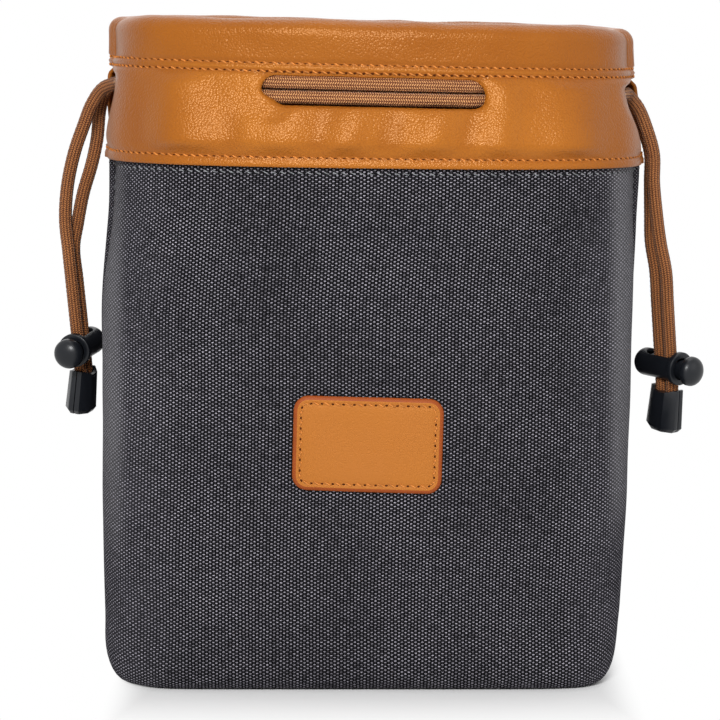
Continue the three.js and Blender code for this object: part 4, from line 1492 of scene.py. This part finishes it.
def slot_tool(start):
    """A prism with round ends that cuts the strands' slot down through a lock part."""
    bm = bmesh.new()
    radius = SLOT_WIDTH / 2
    outline = []
    for middle, first in ((start + SLOT_LENGTH - radius, -math.pi / 2), (start + radius, math.pi / 2)):
        for angle in stations((first, first + math.pi, 16)):
            corner = middle + radius * math.cos(angle), radius * math.sin(angle), -TOOL_REACH / 2
            outline.append(bm.verts.new(corner))
    extruded(bm, bm.faces.new(outline), (0, 0, TOOL_REACH))
    face_outwards(bm)
    return bm


def carved(bm, *tools):
    """A bmesh with other bmeshes cut out of it."""
    shapes = []
    for shape in (bm, *tools):
        mesh = bpy.data.meshes.new("part")
        shape.to_mesh(mesh)
        shape.free()
        shapes.append(in_scene("part", mesh))
    for tool in shapes[1:]:
        modifier = shapes[0].modifiers.new("cut", "BOOLEAN")
        modifier.operation, modifier.object, modifier.solver = "DIFFERENCE", tool, "EXACT"
    result = bmesh.new()
    result.from_object(shapes[0], bpy.context.evaluated_depsgraph_get())
    for shape in shapes:
        bpy.data.meshes.remove(shape.data)
    bmesh.ops.remove_doubles(result, verts=result.verts, dist=MERGE)
    return result


def hung_piece(name, bm, hung, body, node):
    """A moulded part taken to its place on its cords, with softened edges."""
    centre, along, across, up = hung
    place = Matrix((along, across, up)).transposed().to_4x4()
    place.translation = centre
    bmesh.ops.transform(bm, matrix=place, verts=bm.verts)
    piece = new_piece(name, bm, "plastic", body, node)
    round_edges(piece, MOULDED_EDGE)
    piece["on_cords"] = True


def barrel_shape():
    flange = BARREL_MOUTH - FLANGE_WIDTH
    profile = quarter(BARREL_TIP, DOME_LENGTH, BARREL_RADIUS) + [
        (flange - 3 * CHAMFER, BARREL_RADIUS * 0.985),
        (flange - CHAMFER, BARREL_RADIUS),
        (flange - 0.3 * CHAMFER, FLANGE_RADIUS - 0.6 * CHAMFER),
        (flange + 0.4 * CHAMFER, FLANGE_RADIUS),
        (BARREL_MOUTH - CHAMFER, FLANGE_RADIUS),
        (BARREL_MOUTH - 0.3 * CHAMFER, FLANGE_RADIUS - 0.3 * CHAMFER),
        (BARREL_MOUTH, FLANGE_RADIUS - CHAMFER),
        (BARREL_MOUTH, BORE_RADIUS + 0.3 * CHAMFER),
        (BARREL_MOUTH - 0.3 * CHAMFER, BORE_RADIUS),
        (BARREL_FLOOR, BORE_RADIUS),
        (BARREL_FLOOR, 0),
    ]
    return carved(turned(profile), slot_tool(BARREL_SLOT))


def plunger_shape():
    crown = quarter(HEAD_START + HEAD_LENGTH, HEAD_EDGE - HEAD_LENGTH, HEAD_RADIUS)
    profile = [
        (PLUNGER_START, 0),
        (PLUNGER_START, PLUNGER_RADIUS - 0.5 * CHAMFER),
        (PLUNGER_START + 0.5 * CHAMFER, PLUNGER_RADIUS),
        (HEAD_START, PLUNGER_RADIUS),
        (HEAD_START, HEAD_RADIUS - CHAMFER),
        (HEAD_START + 0.4 * CHAMFER, HEAD_RADIUS - 0.3 * CHAMFER),
        (HEAD_START + CHAMFER, HEAD_RADIUS),
        *reversed(crown),
    ]
    return carved(turned(profile), slot_tool(PLUNGER_SLOT))


def make_locks():
    """Barrels and plungers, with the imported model's own springs given their steel."""
    for side in SIDES:
        hung = lock_frame(side)
        hung_piece(f"{side}_barrel", barrel_shape(), hung, f"{side}_lock", f"{side}_lock_barrel")
        hung_piece(f"{side}_plunger", plunger_shape(), hung, f"{side}_button", f"{side}_lock_plunger")
        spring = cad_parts[f"{side}_lock_spring"]
        spring.data.materials.clear()
        spring.data.materials.append(finish("steel"))


# Clamshell cord ends: two moulded shells with a hollow mouth and a parting line

END_LENGTH = 0.0134
END_TOP = 0.0057
END_BOTTOM = 0.0064
END_CHAMFER = 0.0013
END_DEPTH_SHARE = 0.68
SCOOP_RADIUS = 0.009
SCOOP_LENGTH = 0.032


def rod(radii, length, matrix, segments):
    """A round or many-sided rod about Z, moved by a matrix."""
    bm = bmesh.new()
    bmesh.ops.create_cone(
        bm, cap_ends=True, segments=segments, radius1=radii[0], radius2=radii[1], depth=length,
        matrix=matrix,
    )
    return bm


def cord_end_shape():
    """The eight-sided body, scooped at its mouth and bored for the two strands."""
    length = END_LENGTH - END_CHAMFER
    flat_in_front = Matrix.Rotation(math.pi / 8, 4, "Z")
    bm = rod((END_BOTTOM, END_TOP), length, Matrix.Translation((0, 0, -length / 2)) @ flat_in_front, 8)
    bottom = min(bm.faces, key=lambda face: face.calc_center_median().z)
    lowered = extruded(bm, bottom, (0, 0, -END_CHAMFER))
    bmesh.ops.delete(bm, geom=[bottom], context="FACES_ONLY")
    share = (END_BOTTOM - END_CHAMFER) / END_BOTTOM
    bmesh.ops.scale(bm, verts=lowered, vec=(share, share, 1))
    bmesh.ops.scale(bm, verts=bm.verts, vec=(1, END_DEPTH_SHARE, 1))
    face_outwards(bm)
    lying = Matrix.Translation((0, 0, SCOOP_RADIUS - END_SCOOP)) @ Matrix.Rotation(math.pi / 2, 4, "X")
    tools = [rod((SCOOP_RADIUS,) * 2, SCOOP_LENGTH, lying, 96)]
    for row in (-1, 1):
        middle = row * STRAND_SPACING / 2, 0, TOOL_REACH / 2 - END_POCKET
        tools.append(rod((SLOT_WIDTH / 2,) * 2, TOOL_REACH, Matrix.Translation(middle), 40))
    return carved(bm, *tools)


def make_cord_ends():
    for side in SIDES:
        for strand, facing in (("front", -1), ("back", 1)):
            bm = cord_end_shape()
            bmesh.ops.bisect_plane(
                bm, geom=[*bm.verts, *bm.edges, *bm.faces], dist=1e-8,
                plane_co=(0, facing * CLEARANCE / 2, 0), plane_no=(0, -facing, 0), clear_outer=True,
            )
            fill_ends(bm)
            face_outwards(bm)
            name, node = f"{side}_end_shell_{strand}", f"{side}_cord_end_{strand}"
            hung_piece(name, bm, end_frame(side), "root", node)


# Camera, lights and floor

IMAGE_SIZE = 720
CAMERA_PLACE = (-0.0038, -0.8, 0.1970)
CAMERA_PITCH = math.radians(90 - 7.54)
FOCAL_PIXELS = 2644
LAMP_TARGET = Vector((0, 0, 0.1))
SOFTBOXES = {                   # place, width and height, watts
    "key_softbox": ((-0.12, -0.94, 0.62), (0.32, 0.18), 9.4),
    "fill_softbox": ((0.9, -0.6, 0.5), (0.8, 0.8), 1.5),
    "top_softbox": ((0.1, 0.25, 1.2), (0.8, 0.8), 3),
    "back_softbox": ((-0.2, 1.1, 0.6), (0.9, 0.9), 1.5),
}
WORLD_LEVEL = 0.20
FLOOR_REACH = 6
FLOOR_DROP = 0.0002
SHADOW_REACH = 0.055            # the floor keeps its shadow this far before and behind the base
SHADOW_SIDE = 4.0               # and that many times less beside it
SHADOW_HALF_WIDTH, SHADOW_HALF_DEPTH = 0.064, 0.043


def make_camera():
    data = bpy.data.cameras.new("camera")
    data.lens = data.sensor_width * FOCAL_PIXELS / IMAGE_SIZE
    data.clip_end = 50
    bpy.context.scene.camera = in_scene("camera", data, CAMERA_PLACE, (CAMERA_PITCH, 0, 0))


def make_lamps():
    """Softboxes that face the middle of the pouch."""
    for name, (place, size, watts) in SOFTBOXES.items():
        data = bpy.data.lights.new(name, "AREA")
        data.shape, data.energy = "RECTANGLE", watts
        data.size, data.size_y = size
        turn = (LAMP_TARGET - Vector(place)).to_track_quat("-Z", "Y").to_euler()
        in_scene(name, data, place, turn)


def white_where_seen(tree, lit, kind, target, share=1):
    """Shows plain white in place of a shader, by a share, where a ray comes from the camera,
    a reflection or a clear thing. The light that falls on the pouch stays."""
    add = functools.partial(add_node, tree)
    rays = add("LightPath").node.outputs
    seen = add("Math", rays["Is Camera Ray"], rays["Is Glossy Ray"], operation="MAXIMUM")
    seen = add("Math", seen, rays["Is Transmission Ray"], operation="MAXIMUM")
    seen = add("Math", seen, share, operation="MULTIPLY")
    white = add(kind, Color=linear("#FFFFFF"), Strength=1)
    feed(tree, tree.nodes[target], Surface=add("MixShader", seen, lit, white))


def make_world():
    """Even grey light all round, and plain white behind the object for the camera."""
    world = bpy.data.worlds.new("studio")
    bpy.context.scene.world = world
    world.use_nodes = True
    light = world.node_tree.nodes["Background"]
    feed(world.node_tree, light, Color=linear("#FFFFFF"), Strength=WORLD_LEVEL)
    white_where_seen(world.node_tree, light.outputs[0], "Background", "World Output")


def floor_material():
    """Matte white paint that keeps the pouch's soft shadow; the camera sees it run out to white."""
    material, add = new_material("matte_white_floor")
    place = add("TexCoord", output="Object")
    patches = add("TexNoise", Vector=place, Scale=1 / 0.3, Detail=3)
    paint = add("Mix", patches, output=2, data_type="RGBA", in6=linear("#FBFBFB"), in7=linear("#FFFFFF"))
    set_shader(material, Base_Color=paint, Roughness=0.9, Specular_IOR_Level=0.1)
    x, y, _ = add("SeparateXYZ", place).node.outputs
    beside = add("Math", x, operation="ABSOLUTE")
    beside = add("Math", beside, SHADOW_SIDE, -SHADOW_SIDE * SHADOW_HALF_WIDTH, operation="MULTIPLY_ADD")
    before = add("Math", y, operation="ABSOLUTE")
    before = add("Math", before, SHADOW_HALF_DEPTH, operation="SUBTRACT")
    far = add("Math", beside, before, operation="MAXIMUM")
    far = add("MapRange", far, 0, SHADOW_REACH, interpolation_type="SMOOTHSTEP")
    lit = material.node_tree.nodes["Principled BSDF"].outputs[0]
    white_where_seen(material.node_tree, lit, "Emission", "Material Output", far)
    return material


def make_floor():
    mesh = bpy.data.meshes.new("floor")
    bm = bmesh.new()
    bmesh.ops.create_grid(bm, x_segments=8, y_segments=8, size=FLOOR_REACH)
    bmesh.ops.translate(bm, verts=bm.verts, vec=(0, 0, -FLOOR_DROP))
    bm.to_mesh(mesh)
    bm.free()
    mesh.materials.append(floor_material())
    in_scene("floor", mesh)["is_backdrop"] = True


def make_stage():
    bpy.context.scene.view_settings.view_transform = "Standard"
    make_camera()
    make_world()
    make_floor()
    make_lamps()


# Operators, panel and registration

class POUCH_OT_stage(bpy.types.Operator):
    """Camera, soft lamps, white surroundings and floor"""
    bl_idname = "pouch.stage"
    bl_label = "Stage"

    def execute(self, context):
        make_stage()
        return {"FINISHED"}


class POUCH_OT_locks(bpy.types.Operator):
    """The two sprung cord locks"""
    bl_idname = "pouch.locks"
    bl_label = "Cord locks"

    def execute(self, context):
        make_locks()
        return {"FINISHED"}


class POUCH_OT_cord_ends(bpy.types.Operator):
    """The two clamshell cord ends"""
    bl_idname = "pouch.cord_ends"
    bl_label = "Cord ends"

    def execute(self, context):
        make_cord_ends()
        return {"FINISHED"}


class POUCH_OT_cords(bpy.types.Operator):
    """The braided cords: their runs in the collar and their four free tails"""
    bl_idname = "pouch.cords"
    bl_label = "Drawcords"

    def execute(self, context):
        make_cords()
        return {"FINISHED"}


class POUCH_OT_canvas(bpy.types.Operator):
    """The front and back canvas"""
    bl_idname = "pouch.canvas"
    bl_label = "Canvas"

    def execute(self, context):
        make_canvas()
        return {"FINISHED"}


class POUCH_OT_inside(bpy.types.Operator):
    """The lining, the foam padding and the foam strip in the rim"""
    bl_idname = "pouch.inside"
    bl_label = "Lining and foam"

    def execute(self, context):
        make_inside()
        return {"FINISHED"}


class POUCH_OT_collar(bpy.types.Operator):
    """The leather collar with its rolled rim, window and slits"""
    bl_idname = "pouch.collar"
    bl_label = "Collar"

    def execute(self, context):
        make_collar()
        return {"FINISHED"}


class POUCH_OT_label(bpy.types.Operator):
    """The bare leather patch with its painted edge"""
    bl_idname = "pouch.label"
    bl_label = "Label patch"

    def execute(self, context):
        make_label()
        return {"FINISHED"}


class POUCH_OT_stitching(bpy.types.Operator):
    """The rows of stitches on collar, canvas and patch"""
    bl_idname = "pouch.stitching"
    bl_label = "Stitching"

    def execute(self, context):
        make_stitching()
        return {"FINISHED"}


OPERATORS = (
    POUCH_OT_stage, POUCH_OT_locks, POUCH_OT_cord_ends, POUCH_OT_cords, POUCH_OT_canvas,
    POUCH_OT_inside, POUCH_OT_collar, POUCH_OT_label, POUCH_OT_stitching,
)


class POUCH_PT_parts(bpy.types.Panel):
    """The pouch's parts, sizes and colours"""
    bl_idname = "POUCH_PT_parts"
    bl_label = "Lens pouch"
    bl_space_type = "VIEW_3D"
    bl_region_type = "UI"
    bl_category = "Pouch"

    def draw(self, context):
        for kind in OPERATORS:
            self.layout.operator(kind.bl_idname)
        for group in (context.scene.pouch_sizes, context.scene.pouch_colours):
            for name in group.bl_rna.properties.keys():
                if name not in {"rna_type", "name"}:
                    self.layout.prop(group, name)


CLASSES = (PouchSizes, PouchColours, *OPERATORS, POUCH_PT_parts)


def register():
    for kind in CLASSES:
        bpy.utils.register_class(kind)
    bpy.types.Scene.pouch_sizes = bpy.props.PointerProperty(type=PouchSizes)
    bpy.types.Scene.pouch_colours = bpy.props.PointerProperty(type=PouchColours)


def unregister():
    del bpy.types.Scene.pouch_colours
    del bpy.types.Scene.pouch_sizes
    for kind in reversed(CLASSES):
        bpy.utils.unregister_class(kind)


def main():
    """Builds the whole pouch and its stage."""
    register()
    bpy.ops.pouch.stage()
    bpy.ops.pouch.locks()
    bpy.ops.pouch.cord_ends()
    bpy.ops.pouch.cords()
    bpy.ops.pouch.canvas()
    bpy.ops.pouch.inside()
    bpy.ops.pouch.collar()
    bpy.ops.pouch.label()
    bpy.ops.pouch.stitching()
    boxes = {"cad": cad_box, "visual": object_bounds()}
    corners = {name: [list(corner) for corner in box] for name, box in boxes.items()}


if __name__ == "__main__":
    main()
